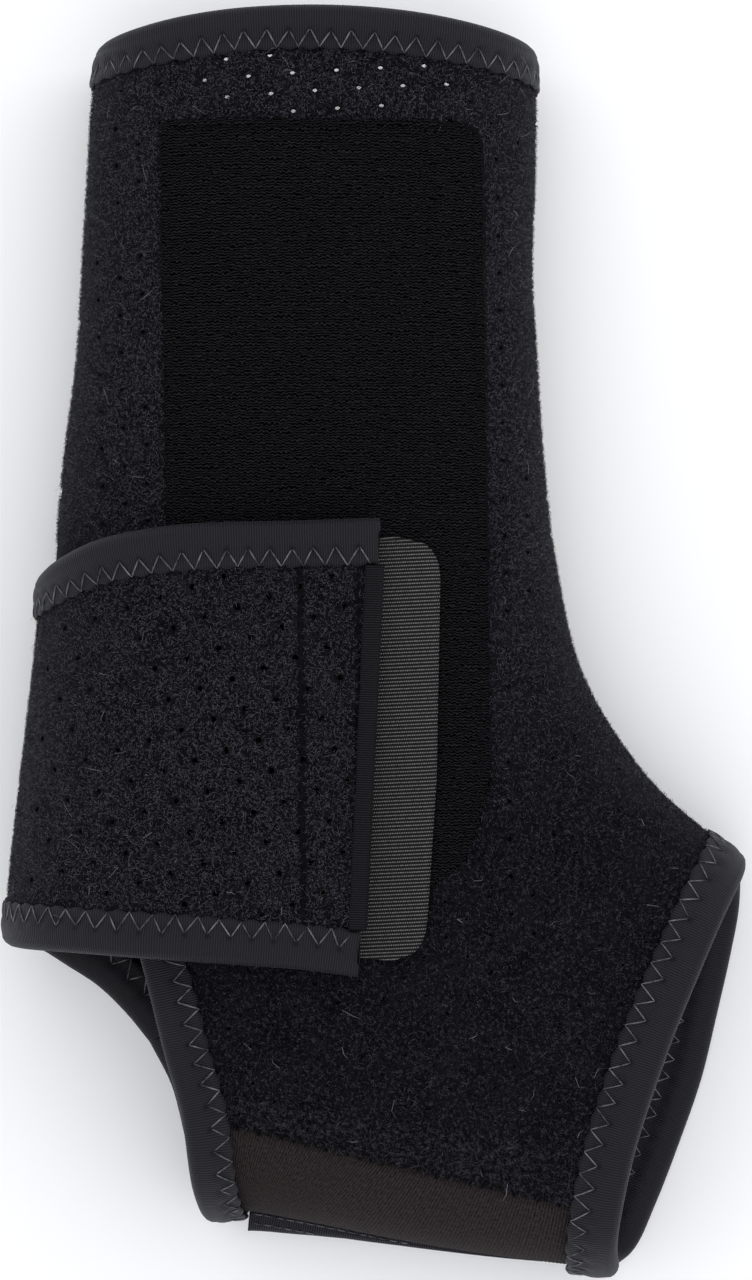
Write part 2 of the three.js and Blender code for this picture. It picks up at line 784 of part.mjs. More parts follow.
// Perforations: a slanted grid of small holes through the near side, between the rim tape and the patch
function perforations() {
  const step = ({ length: size, angle }) => {
    const turn = THREE.MathUtils.degToRad(angle);
    return new THREE.Vector2(size * Math.cos(turn), size * Math.sin(turn));
  };
  const across = step(hole_step_across);
  const down = step(hole_step_down);
  const height = 2 * (fold_height + shaft_rise);
  const edge = tape_width + hole_clearance;
  const patch_top = patch_outline[0].y * length + hole_clearance;
  const holes = [];
  for (let i = -hole_rows; i <= hole_rows; i += 1) {
    for (let j = -hole_rows; j <= hole_rows; j += 1) {
      const x = hole_start.x + i * across.x + j * down.x;
      const y = hole_start.y + i * across.y + j * down.y;
      const inside = Math.min(from_back(x, y), from_front(x, y)) > 0.7 * tape_width;
      if (inside && y > patch_top && from_near_rim(x, y) > edge && y < near_rim.getPoint(0.5).y) {
        const hole = new THREE.CylinderGeometry(hole_diameter / 2, hole_diameter / 2, height, hole_sides);
        hole.rotateX(Math.PI / 2).translate(x, y, fold_height + height / 2);
        holes.push(geometry_solid(hole));
      }
    }
  }
  return wasm.Manifold.union(holes);
}

const outer_panel = main_body(
  slab([near_cells, wrap_cells].flat(), -half_wall, half_wall, gap / 2)
    .subtract(perforations())
    .subtract(tape_room(strap_top_path, tape_width, -1, false, straight, gap)),
);
const inner_panel = main_body(slab(far_cells, -half_wall, half_wall, gap / 2).subtract(strap_core));
const sole_insert = slab(elastic_cells, -elastic / 2, elastic / 2, gap / 2);
const wrap_strap = slab(strap_cells, -half_wall, half_wall, gap / 2);

// Layers on the near side
function layer(under, over, table) {
  return main_body(slab(near_cells, under, over, 0).intersect(block(table))).simplify(smoothing);
}
const loop_patch = layer(half_wall + gap, half_wall + gap + patch_thickness, patch_outline);
const hook_tab = layer(hook_lift, hook_lift + tab_thickness, tab_outline);

// Hands a solid back to three.js
function piece(name, shape, colour, roughness) {
  const { vertProperties, triVerts } = shape.getMesh();
  const geometry = new THREE.BufferGeometry();
  geometry.setAttribute('position', new THREE.BufferAttribute(new Float32Array(vertProperties), 3));
  geometry.setIndex(new THREE.BufferAttribute(new Uint32Array(triVerts), 1));
  geometry.computeVertexNormals();
  const material = new THREE.MeshStandardMaterial({ color: colour, roughness, metalness: 0 });
  const mesh = new THREE.Mesh(geometry, material);
  mesh.name = name;
  return mesh;
}

// The hem strip under the elastic: a flat strip that stands out of the sole fold
function hem_strip() {
  const middle = hem_thickness / 2;
  const sections = hem_table.map(({ along, reach }) => {
    const start = sole_fold.getPointAt(along);
    const run = sole_fold.getTangentAt(along);
    const out = new THREE.Vector3(run.y, -run.x, 0);
    const inner = elastic / 2 + gap;
    const outer = inner + reach * hem_reach;
    const edge = Math.min(middle, (outer - inner) / 2);
    const at = (distance, rise) => start.clone().addScaledVector(out, distance)
      .add(new THREE.Vector3(0, 0, sole_height + rise));
    const over = [at(inner, middle), at(outer - edge, middle)];
    return [...over, at(outer, 0), at(outer - edge, -middle), at(inner, -middle)];
  });
  const ring = sections[0].length;
  const last = (sections.length - 1) * ring;
  const faces = [];
  for (let i = 0; i + 1 < sections.length; i += 1) {
    for (let j = 0; j < ring; j += 1) {
      const a = i * ring + j;
      const b = i * ring + ((j + 1) % ring);
      faces.push([a, b, b + ring], [a, b + ring, a + ring]);
    }
  }
  for (let j = 1; j + 1 < ring; j += 1) {
    faces.push([0, j + 1, j], [last, last + j, last + j + 1]);
  }
  return solid(sections.flat(), faces);
}

// A narrow folded strip over the free end of the strap, between the two long tapes
function end_strip() {
  const half = half_wall + tape_reach;
  const room = gap + tape_width;
  const end = strap_end.getLength();
  const sections = even_shares(hem_steps).map((share) => {
    const foot = strap_end.getPointAt(THREE.MathUtils.lerp(room, end - room, share) / end);
    const run = strap_end.getTangentAt(0);
    const out = new THREE.Vector3(-run.y, run.x, 0);
    const profile = [[-end_tape_width, 1], [tape_reach, 1], [tape_reach, -1], [-end_tape_width, -1]];
    return profile.map(([reach, turn]) => {
      const point = foot.clone().addScaledVector(out, reach);
      const on_strap = foot.clone().addScaledVector(out, Math.min(reach, 0));
      const base = new THREE.Vector3(on_strap.x, on_strap.y, strap_over_height(on_strap.x, on_strap.y));
      const normal = surface_normal(base, strap_over_side);
      return new THREE.Vector3(point.x, point.y, base.z).addScaledVector(normal, turn * half);
    });
  });
  const ring = sections[0].length;
  const last = (sections.length - 1) * ring;
  const faces = [[0, 2, 1], [0, 3, 2], [last, last + 1, last + 2], [last, last + 2, last + 3]];
  for (let i = 0; i + 1 < sections.length; i += 1) {
    for (let j = 0; j < ring; j += 1) {
      const a = i * ring + j;
      const b = i * ring + ((j + 1) % ring);
      faces.push([a, b, b + ring], [a, b + ring, a + ring]);
    }
  }
  return main_body(solid(sections.flat(), faces).subtract(strap_core));
}

const brace = new THREE.Group();
brace.add(
  piece('outer_panel', outer_panel, '#1b1a1f', 0.95),
  piece('inner_panel', inner_panel, '#1b1a1f', 0.95),
  piece('wrap_strap', wrap_strap, '#1d1c21', 0.95),
  piece('sole_insert', sole_insert, '#272425', 0.85),
  piece('loop_patch', loop_patch, '#100f10', 1),
  piece('hook_tab', hook_tab, '#343332', 0.8),
  piece('top_binding', top_binding, '#252429', 0.7),
  piece('toe_binding', toe_binding, '#2a292e', 0.7),
  piece('heel_binding', heel_binding, '#2a292e', 0.7),
  piece('strap_top_binding', strap_top_binding, '#29282d', 0.7),
  piece('strap_foot_binding', strap_foot_binding, '#29282d', 0.7),
  piece('strap_hem', end_strip(), '#222126', 0.8),
  piece('sole_hem', hem_strip(), '#2c2b30', 0.7),
);

export default brace;
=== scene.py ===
# %% [markdown]
# # An ankle brace of foam fabric, lying empty on its side
#
# The real object is a sleeve for the ankle, cut from perforated foam fabric with a brushed pile. It is
# bound with stretch tape that a zigzag stitch holds, it has a knitted loop patch on the leg, an elastic
# band under the foot, and a wide strap that wraps the heel and ends in a grey hook tab.
#
# Every soft piece here is a surface worked out with numpy: a function gives the height of the cloth over
# the place it covers, and grids of places become meshes. First the imported model is loaded.

import bpy
import numpy as np
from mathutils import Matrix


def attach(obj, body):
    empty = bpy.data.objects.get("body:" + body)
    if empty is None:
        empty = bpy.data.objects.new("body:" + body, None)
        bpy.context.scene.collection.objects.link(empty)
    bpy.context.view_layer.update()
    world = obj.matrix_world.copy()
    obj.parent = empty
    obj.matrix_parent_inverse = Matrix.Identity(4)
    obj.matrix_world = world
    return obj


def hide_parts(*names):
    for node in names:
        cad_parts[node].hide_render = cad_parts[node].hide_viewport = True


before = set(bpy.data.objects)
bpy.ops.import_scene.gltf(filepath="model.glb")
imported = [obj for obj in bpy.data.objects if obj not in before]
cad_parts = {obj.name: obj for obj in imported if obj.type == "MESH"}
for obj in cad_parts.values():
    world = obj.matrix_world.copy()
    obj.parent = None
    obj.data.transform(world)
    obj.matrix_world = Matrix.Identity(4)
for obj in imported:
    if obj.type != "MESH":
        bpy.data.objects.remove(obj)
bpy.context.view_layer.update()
chance = np.random.default_rng(7)
print("solids of the packed model:", len(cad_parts))

# %% [markdown]
# ## The sizes the brace is cut to
#
# All sizes are in millimetres, and a mesh turns them into metres when it is made. The outlines are short
# tables of places seen from above, each as a share of the width and of the length. The folds are the
# lines where the flattened sleeve turns over, and the seam is where the strap is sewn to the far side.

# %% Sizes and outlines
LENGTH, WIDTH = 260.0, 151.4
FOLD, SOLE, RISE = 15.0, 9.0, 25.5
WALL, ELASTIC, TAPE, GAP = 3.0, 1.6, 0.8, 0.3
PATCH, TAB = 1.0, 0.9
TAPE_WIDTH, TOE_TAPE_WIDTH, END_TAPE_WIDTH = 6.8, 8.0, 2.6
HALF = WALL / 2
BULGE, POWER, PAST_FOLD = 40.0, 2.3, 32.0
UNDER_RADIUS, SOLE_RADIUS, SOLE_UNDER_RADIUS = 13.0, 22.0, 8.0
STRAP_LEAD = WALL + GAP
TAPE_REACH = GAP + TAPE
TAPE_REST = max(TAPE_WIDTH, TOE_TAPE_WIDTH) + 1
PITCH, NEEDLE_INSET, NEEDLE_SWING = 4.3, 0.2, 3.5
ELASTIC_RIB, KNIT_ROW, CORD, CORD_SLOPE, BEAD = 0.62, 1.16, 0.72, 0.05, 0.46
HOOK_LIFT = HALF + GAP + PATCH + GAP
STRAP_LIFT = HOOK_LIFT + TAB + GAP + TAPE + GAP + HALF

BACK_FOLD = [(-0.365, 0.471), (-0.374, 0.444), (-0.382, 0.374), (-0.389, 0.304), (-0.397, 0.231),
             (-0.414, 0.152), (-0.427, 0.066)]
STRAP_FOLD = [(-0.447, 0.052), (-0.451, 0.012), (-0.470, -0.086), (-0.488, -0.181), (-0.492, -0.222)]
FRONT_FOLD = [(0.203, 0.470), (0.206, 0.444), (0.205, 0.374), (0.201, 0.304), (0.208, 0.231),
              (0.217, 0.152), (0.235, 0.066), (0.273, -0.022), (0.369, -0.108), (0.487, -0.167)]
HEEL_NEAR = [(-0.427, 0.066), (-0.400, 0.049), (-0.390, -0.010), (-0.362, -0.099), (-0.331, -0.169),
             (-0.296, -0.238), (-0.266, -0.308), (-0.243, -0.357), (-0.230, -0.416), (-0.220, -0.444)]
TOE_NEAR = [(0.487, -0.167), (0.455, -0.197), (0.420, -0.239), (0.382, -0.291), (0.351, -0.342),
            (0.328, -0.386), (0.312, -0.432), (0.308, -0.464), (0.316, -0.488)]
TOE_FAR = [(0.487, -0.167), (0.488, -0.203), (0.477, -0.240), (0.458, -0.289), (0.436, -0.342),
           (0.405, -0.394), (0.373, -0.442), (0.344, -0.477), (0.316, -0.488)]
HEEL_FAR = [(-0.300, -0.310), (-0.269, -0.346), (-0.251, -0.386), (-0.237, -0.425), (-0.220, -0.444)]
FAR_SEAM = [(-0.222, 0.066), (-0.240, -0.040), (-0.262, -0.140), (-0.284, -0.240), (-0.300, -0.310)]
SOLE_FOLD = [(-0.220, -0.444), (-0.180, -0.442), (-0.105, -0.449), (0.033, -0.465), (0.171, -0.478),
             (0.316, -0.488)]
UPPER_UNDER = [(-0.2225, 0.059), (-0.340, 0.057), (-0.447, 0.052)]
LOWER_UNDER = [(-0.300, -0.310), (-0.335, -0.285), (-0.376, -0.262), (-0.423, -0.244), (-0.463, -0.229),
               (-0.492, -0.222)]
UPPER_OVER = [(-0.447, 0.052), (-0.420, 0.063), (-0.364, 0.078), (-0.297, 0.086), (-0.231, 0.090),
              (-0.100, 0.092), (0.006, 0.094)]
LOWER_OVER = [(-0.492, -0.222), (-0.420, -0.221), (-0.298, -0.224), (-0.166, -0.229), (-0.100, -0.232),
              (-0.021, -0.238)]
RISE_PLACES, RISE_SHARES = [-0.5, -0.3, -0.15, 0.05, 0.5], [0.8, 0.86, 0.92, 1, 1]
NEAR_BOW, FAR_BOW, RIM_BLEND = 5.0, -12.6, 70.0
print(f"brace {LENGTH:.0f} by {WIDTH:.0f} mm, wall {WALL:.0f} mm")

# %% [markdown]
# ## Smooth outlines
#
# A cutter's pattern is a smooth curve through a few points. The curve here is a centripetal Catmull-Rom
# spline, which passes through every point of its table without loops, even where they are unevenly spaced.
# `at` reads it by its own parameter and `even` by the share of its length.


# %% A smooth outline through a table
def run_of(path):
    """Length along a row of places up to each of them: the running sum of the distances between them."""
    return np.r_[0, np.cumsum(np.linalg.norm(np.diff(path, axis=0), axis=1))]


def read(path, run, at):
    """Places on a path at given lengths along it, straight between its own places."""
    return np.stack([np.interp(at, run, values) for values in path.T], 1)


def unit(v):
    return v / np.maximum(np.linalg.norm(v, axis=-1, keepdims=True), 1e-9)


class Outline:
    """Between knots p1 and p2 the point is a cubic in w whose slopes at both ends are the centripetal
    ones: each weighs its neighbours' differences by the square roots of the knots' distances."""

    def __init__(self, knots):
        self.knots = np.array(knots, float)
        first, last = 2 * self.knots[0] - self.knots[1], 2 * self.knots[-1] - self.knots[-2]
        self.ends = np.vstack([first, self.knots, last])
        self.share = np.linspace(0, 1, 221)
        self.line = self.at(self.share)
        run = run_of(self.line)
        self.length = run[-1]
        self.run = run / run[-1]

    def at(self, share):
        place = np.clip(np.asarray(share, float), 0, 1) * (len(self.knots) - 1)
        i = np.minimum(place.astype(int), len(self.knots) - 2)
        w = (place - i)[..., None]
        p0, p1, p2, p3 = (self.ends[i + k] for k in range(4))
        d0, d1, d2 = (np.sqrt(np.linalg.norm(b - a, axis=-1, keepdims=True))
                      for a, b in ((p0, p1), (p1, p2), (p2, p3)))
        s1 = ((p1 - p0) / d0 - (p2 - p0) / (d0 + d1) + (p2 - p1) / d1) * d1
        s2 = ((p2 - p1) / d1 - (p3 - p1) / (d1 + d2) + (p3 - p2) / d2) * d1
        cubic = (2 * (p1 - p2) + s1 + s2) * w ** 3 + (3 * (p2 - p1) - 2 * s1 - s2) * w ** 2
        return cubic + s1 * w + p1

    def even(self, share):
        return self.at(np.interp(share, self.run, self.share))

    def y_at(self, x):
        return np.interp(x, self.line[:, 0], self.line[:, 1])

    def x_at(self, y, **beyond):
        """For an outline whose y falls from start to end."""
        return np.interp(y, self.line[::-1, 1], self.line[::-1, 0], **beyond)

    def sideways(self, share):
        """Places at shares of the length, and unit vectors square to the line, to the right of its run."""
        foot = self.even(share)
        run = unit(np.gradient(foot, axis=0))
        return foot, np.stack([run[:, 1], -run[:, 0]], 1)


def outline(table):
    return Outline(np.array(table) * (WIDTH, LENGTH))


def rim(bow):
    """A straight line between the tops of the two folds, with a bow of 4 s (1 - s) along the length."""
    s = np.linspace(0, 1, 13)[:, None]
    a, b = back_fold.at(0.0), front_fold.at(0.0)
    return Outline(a + (b - a) * s + np.array([0, 1]) * bow * 4 * s * (1 - s))


back_fold, strap_fold, front_fold = outline(BACK_FOLD), outline(STRAP_FOLD), outline(FRONT_FOLD)
heel_near, heel_far = outline(HEEL_NEAR), outline(HEEL_FAR)
toe_near, toe_far = outline(TOE_NEAR), outline(TOE_FAR)
far_seam, sole_fold = outline(FAR_SEAM), outline(SOLE_FOLD)
upper_under, lower_under = outline(UPPER_UNDER), outline(LOWER_UNDER)
upper_over, lower_over = outline(UPPER_OVER), outline(LOWER_OVER)
near_rim, far_rim = rim(NEAR_BOW), rim(FAR_BOW)
print(f"back fold {back_fold.length:.0f} mm, front fold {front_fold.length:.0f} mm")

# %% [markdown]
# ## How high the cloth stands over the floor
#
# An empty foam sleeve on its side keeps a soft bulge: the cloth turns upright at each fold and levels out
# towards the middle. A superellipse gives that shape, with the distance from the fold as its input. The
# far side lies on the floor, a little higher along its bound edges, because the tape is folded under them.


# %% Distances and heights
def apart(edge, x, y, turn=0):
    """Least distance from each place to the chords of an outline. With a turn, it is above zero on that
    side of the line and below zero on the other: the sign of the cross product of chord and offset."""
    a, run = edge.line[:-1], np.diff(edge.line, axis=0)
    size, shape = (run ** 2).sum(1), np.shape(x)
    x, y = np.ravel(x), np.ravel(y)
    out = np.empty(x.size)
    for part in np.array_split(np.arange(x.size), x.size // 4000 + 1):
        gx, gy = x[part, None] - a[:, 0], y[part, None] - a[:, 1]
        along = np.clip((gx * run[:, 0] + gy * run[:, 1]) / size, 0, 1)
        off = np.hypot(gx - along * run[:, 0], gy - along * run[:, 1])
        best = off.argmin(1)
        pick = (np.arange(len(part)), best)
        side = np.sign(run[best, 0] * gy[pick] - run[best, 1] * gx[pick]) * turn if turn else 1
        out[part] = np.where(off[pick] < 0.002, 0, off[pick] * side)
    return out.reshape(shape)


def arch(distance, radius):
    """Rounded step: with s = distance / radius, (1 - (1 - s)^p)^(1/p), upright at 0 and level at 1."""
    s = np.minimum(distance / radius, 1)
    return np.where(s < 0, s * PAST_FOLD, (1 - (1 - np.clip(s, 0, 1)) ** POWER) ** (1 / POWER))


def ease(value, low, high):
    """Smooth step from 0 at low to 1 at high: 3 s^2 - 2 s^3."""
    s = np.clip((value - low) / (high - low), 0, 1)
    return s * s * (3 - 2 * s)


def ripple(x, y):
    """Soft unevenness of cloth that has been worn and folded: a sum of slow sines, at most 0.5 mm."""
    slow = np.sin(x / 9.1 + 1.7 * np.sin(y / 23)) + 0.8 * np.sin(y / 12.7 + x / 31 + 0.8 * np.sin(x / 8.3))
    return 0.2 * slow + 0.12 * np.sin((x + 1.9 * y) / 6.1 + np.sin(y / 10))


def near_height(x, y):
    back = np.minimum(apart(back_fold, x, y, 1), apart(strap_fold, x, y, 1) - STRAP_LEAD)
    front, sole = apart(front_fold, x, y, -1), apart(sole_fold, x, y, 1)
    rise = RISE * np.interp(y / LENGTH, RISE_PLACES, RISE_SHARES)
    open_rise = rise * arch(back, BULGE) * arch(front, BULGE)
    level = SOLE + (FOLD + open_rise - SOLE) * arch(sole, SOLE_RADIUS)
    return level + ripple(x, y) * ease(np.minimum(np.minimum(back, front), sole), 2, 16)


def far_height(x, y, from_fold):
    edges = [apart(edge, x, y) for edge in (far_rim, toe_far, heel_far, lower_under, upper_under)]
    bed = HALF + TAPE_REACH * (1 - ease(np.minimum.reduce(edges), TAPE_REST, 2 * TAPE_REST))
    side = (FOLD - bed) * (1 - arch(from_fold, UNDER_RADIUS))
    sole = (SOLE - bed) * (1 - arch(apart(sole_fold, x, y, 1), SOLE_UNDER_RADIUS))
    return bed + np.maximum(side, sole)


def panel_under_height(x, y):
    folds = [apart(back_fold, x, y, 1), apart(strap_fold, x, y, 1), apart(front_fold, x, y, -1)]
    return far_height(x, y, np.minimum.reduce(folds))


def strap_under_height(x, y):
    return far_height(x, y, apart(strap_fold, x, y, 1))


def strap_over_height(x, y):
    fold = apart(strap_fold, x, y, 1)
    open_rise = (RISE + STRAP_LIFT) * arch(fold, BULGE) * arch(apart(front_fold, x, y, -1), BULGE)
    return FOLD + open_rise + ripple(x, y) * ease(fold, 2, 16)


NEAR, STRAP_OVER = (near_height, 1), (strap_over_height, 1)
FAR, STRAP_UNDER = (panel_under_height, -1), (strap_under_height, -1)
print(f"top of the near side {float(near_height(np.array([-12.0]), np.array([60.0]))[0]):.1f} mm")

# %% [markdown]
# ## The sheets of cloth as grids
#
# The cloth is laid out as grids of rows that run from one outline to another. Columns crowd together at
# the folds, where the cloth turns upright, by the cosine rule. The near side, the part that wraps round
# the back of the leg, the far side, the elastic under the foot and both halves of the strap share their
# border points, so that one set of normals fits them all.

# %% Rows between outlines
COLUMNS, SHAFT_ROWS, FOOT_ROWS = 84, 85, 48


def crowded(count):
    """Shares from 0 to 1 that crowd at both ends: (1 - cos(pi j / n)) / 2."""
    return 0.5 - 0.5 * np.cos(np.pi * np.linspace(0, 1, count + 1))


def rows(a, b, shares, height, bow=0):
    """Places a + (b - a) s for each pair of border points, bowed by 4 s (1 - s), at the cloth's height."""
    s = np.asarray(shares)[None, :, None]
    plan = a[:, None, :] * (1 - s) + b[:, None, :] * s
    plan[..., 1] += np.reshape(bow, (-1, 1)) * (4 * s * (1 - s))[..., 0]
    return np.dstack([plan, height(plan[..., 0], plan[..., 1])])


def shaft(shares, bow, height):
    step = np.linspace(0, 1, SHAFT_ROWS)
    fade = np.maximum(1 - step * back_fold.length / RIM_BLEND, 0) ** 2
    return rows(back_fold.even(step), front_fold.even(step * 0.56), shares, height, bow * fade)


def band(left, right, count, shares, height, left_steps=(0, 1), right_steps=(0, 1)):
    """Rows from a stretch of the left outline to a stretch of the right one, without the first row."""
    s = np.linspace(0, 1, count + 1)[1:]
    ease_in = [np.interp(s, np.linspace(0, 1, len(k)), k) for k in (left_steps, right_steps)]
    (a, a0, a1), (b, b0, b1) = left, right
    return rows(a.even(a0 + (a1 - a0) * ease_in[0]), b.even(b0 + (b1 - b0) * ease_in[1]), shares, height)


def to_sole(start, height):
    """Rows from the last foam row straight to the sole fold, crowded towards the fold."""
    s = np.sin(np.linspace(0, np.pi / 2, 23))[1:, None, None]
    plan = start[None, :, :2] * (1 - s) + sole_fold.at(crowded(COLUMNS))[None] * s
    return np.dstack([plan, height(plan[..., 0], plan[..., 1])])


STEEP_HEEL = (0, 0.03, 0.1, 0.22, 0.42, 0.7, 1)
STEEP_TOE = (0, 0.012, 0.045, 0.12, 0.26, 0.44, 0.62, 0.81, 1)
STEEP_SEAM = (0, 0.04, 0.12, 0.3, 0.6, 1)
SEAM_SHARE = 0.31
even = crowded(COLUMNS)
near = np.vstack([
    shaft(even, NEAR_BOW, near_height),
    band((heel_near, 0, 0.48), (front_fold, 0.56, 1), FOOT_ROWS, even, near_height, STEEP_HEEL),
    band((heel_near, 0.48, 0.83), (toe_near, 0, 0.84), FOOT_ROWS, even, near_height, (0, 1), STEEP_TOE),
])
elastic_near = np.vstack([near[-1:], to_sole(near[-1], near_height)])
wrap = shaft(SEAM_SHARE * np.linspace(0, 1, 34) ** 2, FAR_BOW, panel_under_height)
far = np.vstack([
    shaft(SEAM_SHARE + (1 - SEAM_SHARE) * even, FAR_BOW, panel_under_height),
    band((far_seam, 0, 0.66), (front_fold, 0.56, 1), FOOT_ROWS, even, panel_under_height),
    band((far_seam, 0.66, 1), (toe_far, 0, 0.5), 26, even, panel_under_height, (0, 1), STEEP_SEAM),
    band((heel_far, 0, 0.36), (toe_far, 0.5, 0.83), 20, even, panel_under_height),
])
front_rows = SHAFT_ROWS + FOOT_ROWS
wrap[:, 0], far[:front_rows, -1] = near[:SHAFT_ROWS, 0], near[:front_rows, -1]
elastic_far = np.vstack([far[-1:], to_sole(far[-1], panel_under_height)])
elastic_far[-1] = elastic_near[-1]
print("rows on the near side:", len(near), "and on the far side:", len(far))

# %% [markdown]
# The strap is a patch between four curves, filled in the way a sheet of rubber would stretch between
# them. This is a Coons patch: the two ways across are added, and the four corners are taken away once.


# %% The strap between its four edges
def coons(upper, lower, first, last, u, v, height):
    """(1-v) upper(u) + v lower(u) + (1-u) first(v) + u last(v) - the bilinear mix of the corners."""
    u, v = u[:, None, None], v[None, :, None]
    long_way = upper.at(u[:, 0, 0])[:, None] * (1 - v) + lower.at(u[:, 0, 0])[:, None] * v
    short_way = first.at(v[0, :, 0])[None] * (1 - u) + last.at(v[0, :, 0])[None] * u
    a0, a1, b0, b1 = first.at(0.0), first.at(1.0), last.at(0.0), last.at(1.0)
    plan = long_way + short_way - (1 - u) * (a0 * (1 - v) + a1 * v) - u * (b0 * (1 - v) + b1 * v)
    return np.dstack([plan, height(plan[..., 0], plan[..., 1])])


strap_end = Outline([upper_over.at(1.0), (upper_over.at(1.0) + lower_over.at(1.0)) / 2, lower_over.at(1.0)])
strap_seam = Outline(np.vstack([upper_under.at(0.0), far_seam.even(np.linspace(0, 1, 9))[1:]]))
across = np.linspace(0, 1, 61)
strap_below = coons(upper_under, lower_under, strap_seam, strap_fold,
                    np.sin(np.linspace(0, np.pi / 2, 31)), across, strap_under_height)
strap_above = coons(upper_over, lower_over, strap_fold, strap_end,
                    np.linspace(0, 1, 71) ** 1.7, across, strap_over_height)
strap_below[-1] = strap_above[0]
print("strap end to end:", strap_below.shape[:2], strap_above.shape[:2])

# %% [markdown]
# Points that two grids share are welded, so that their normals agree. A cell's normal is the cross
# product of its diagonals, and a point's normal is the sum over its cells.

# %% Weld the grids and find normals
def quads(ids):
    """The four corners of every cell, from a grid of point numbers."""
    return np.stack([ids[:-1, :-1], ids[1:, :-1], ids[1:, 1:], ids[:-1, 1:]], -1).reshape(-1, 4)


GRIDS = {"near": (near, 0), "elastic_near": (elastic_near, 0), "wrap": (wrap, 1), "far": (far, 1),
         "elastic_far": (elastic_far, 1), "strap_below": (strap_below, 1), "strap_above": (strap_above, 1)}
stacked = np.vstack([grid.reshape(-1, 3) for grid, _ in GRIDS.values()])
_, first_of, weld = np.unique(np.round(stacked, 5), axis=0, return_index=True, return_inverse=True)
cloth, weld = stacked[first_of], weld.ravel()
numbers, cells, taken = {}, {}, 0
for name, (grid, turned) in GRIDS.items():
    ids = weld[taken:taken + grid.shape[0] * grid.shape[1]].reshape(grid.shape[:2])
    taken += ids.size
    numbers[name] = ids
    cells[name] = quads(ids)[:, ::-1] if turned else quads(ids)
everything = np.vstack(list(cells.values()))
corner = cloth[everything]
facing = np.cross(corner[:, 2] - corner[:, 0], corner[:, 3] - corner[:, 1])
outward = np.zeros_like(cloth)
np.add.at(outward, everything, facing[:, None, :].repeat(4, 1))
outward /= np.linalg.norm(outward, axis=1, keepdims=True)
print("points of cloth:", len(cloth), "cells:", len(everything))

# %% [markdown]
# ## From arrays to Blender pieces
#
# A mesh is filled with `foreach_set`, which hands over whole arrays. Every piece rides on the one body,
# keeps its object at the origin, and has its own UV map in millimetres where a weave follows the cloth.


# %% Make a piece from arrays
def make_mesh(name, points, blocks, uv=None):
    """Mesh of points in millimetres and blocks of faces; each block is an array with one row a face."""
    mesh = bpy.data.meshes.new(name)
    loops = np.concatenate([block.ravel() for block in blocks]).astype(np.int32)
    sizes = np.concatenate([np.full(len(block), block.shape[1]) for block in blocks])
    mesh.vertices.add(len(points))
    mesh.vertices.foreach_set("co", (points / 1000).astype(np.float32).ravel())
    mesh.loops.add(len(loops))
    mesh.loops.foreach_set("vertex_index", loops)
    mesh.polygons.add(len(sizes))
    mesh.polygons.foreach_set("loop_start", (np.cumsum(sizes) - sizes).astype(np.int32))
    if uv is not None:
        mesh.uv_layers.new(name="cloth_mm").data.foreach_set("uv", uv[loops].astype(np.float32).ravel())
    mesh.update(calc_edges=True)
    return mesh


def add_to_scene(item):
    bpy.context.scene.collection.objects.link(item)
    return item


def place(mesh, material, slot, stands_for=(), smooth=True):
    mesh.materials.clear()
    mesh.materials.append(material)
    mesh.polygons.foreach_set("material_index", np.zeros(len(mesh.polygons), np.int32))
    mesh.polygons.foreach_set("use_smooth", np.full(len(mesh.polygons), smooth))
    piece = add_to_scene(bpy.data.objects.new(mesh.name, mesh))
    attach(piece, "root")
    if stands_for:
        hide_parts(*stands_for)
    print(f"{mesh.name}: {len(mesh.polygons)} faces")
    return piece


def panel(name, *grid_names):
    """Mesh of a wall of foam: point +- normal * half, joined along the border. The border is also moved
    inwards by half a gap, in the direction normal x run of the border."""
    four = np.vstack([cells[key] for key in grid_names])
    used, local = np.unique(four, return_inverse=True)
    local = local.reshape(four.shape)
    p, n, count = cloth[used], outward[used], len(used)
    a, b = local.ravel(), np.roll(local, -1, axis=1).ravel()
    free = ~np.isin(a * count + b, b * count + a)
    a, b = a[free], b[free]
    run, pull = unit(p[b] - p[a]), np.zeros_like(p)
    np.add.at(pull, a, np.cross(n[a], run))
    np.add.at(pull, b, np.cross(n[b], run))
    pull = unit(pull) * GAP / 2 * (np.linalg.norm(pull, axis=1, keepdims=True) > 0)
    points = np.vstack([p + n * HALF + pull, p - n * HALF + pull])
    faces = np.vstack([local, local[:, ::-1] + count, np.stack([b, a, a + count, b + count], 1)])
    return make_mesh(name, points, [faces])


def slab(top, bottom):
    """Points and faces of a closed sheet from two grids of places, with a border between them."""
    ids = np.arange(top.shape[0] * top.shape[1]).reshape(top.shape[:2])
    border = np.concatenate([ids[:-1, 0], ids[-1, :-1], ids[:0:-1, -1], ids[0, :0:-1]])
    after = np.roll(border, -1)
    sides = np.stack([after, border, border + ids.size, after + ids.size], 1)
    points = np.vstack([top.reshape(-1, 3), bottom.reshape(-1, 3)])
    return points, [quads(ids), quads(ids)[:, ::-1] + ids.size, sides]


def hoops(count, size, closed=False):
    """Faces between hoops of that many points each, where the last hoop may join the first."""
    i, j = np.meshgrid(np.arange(count if closed else count - 1), np.arange(size), indexing="ij")
    after, beside = (i + 1) % count * size, (j + 1) % size
    return np.stack([i * size + j, after + j, after + beside, i * size + beside], -1).reshape(-1, 4)


def facing_out(points, faces):
    """The faces, turned over if the volume under them, the sum of a . (b x c) / 6, is below zero."""
    a, b, c = (points[faces[:, k]] - points.mean(0) for k in range(3))
    return faces if (a * np.cross(b, c)).sum() > 0 else faces[:, ::-1]


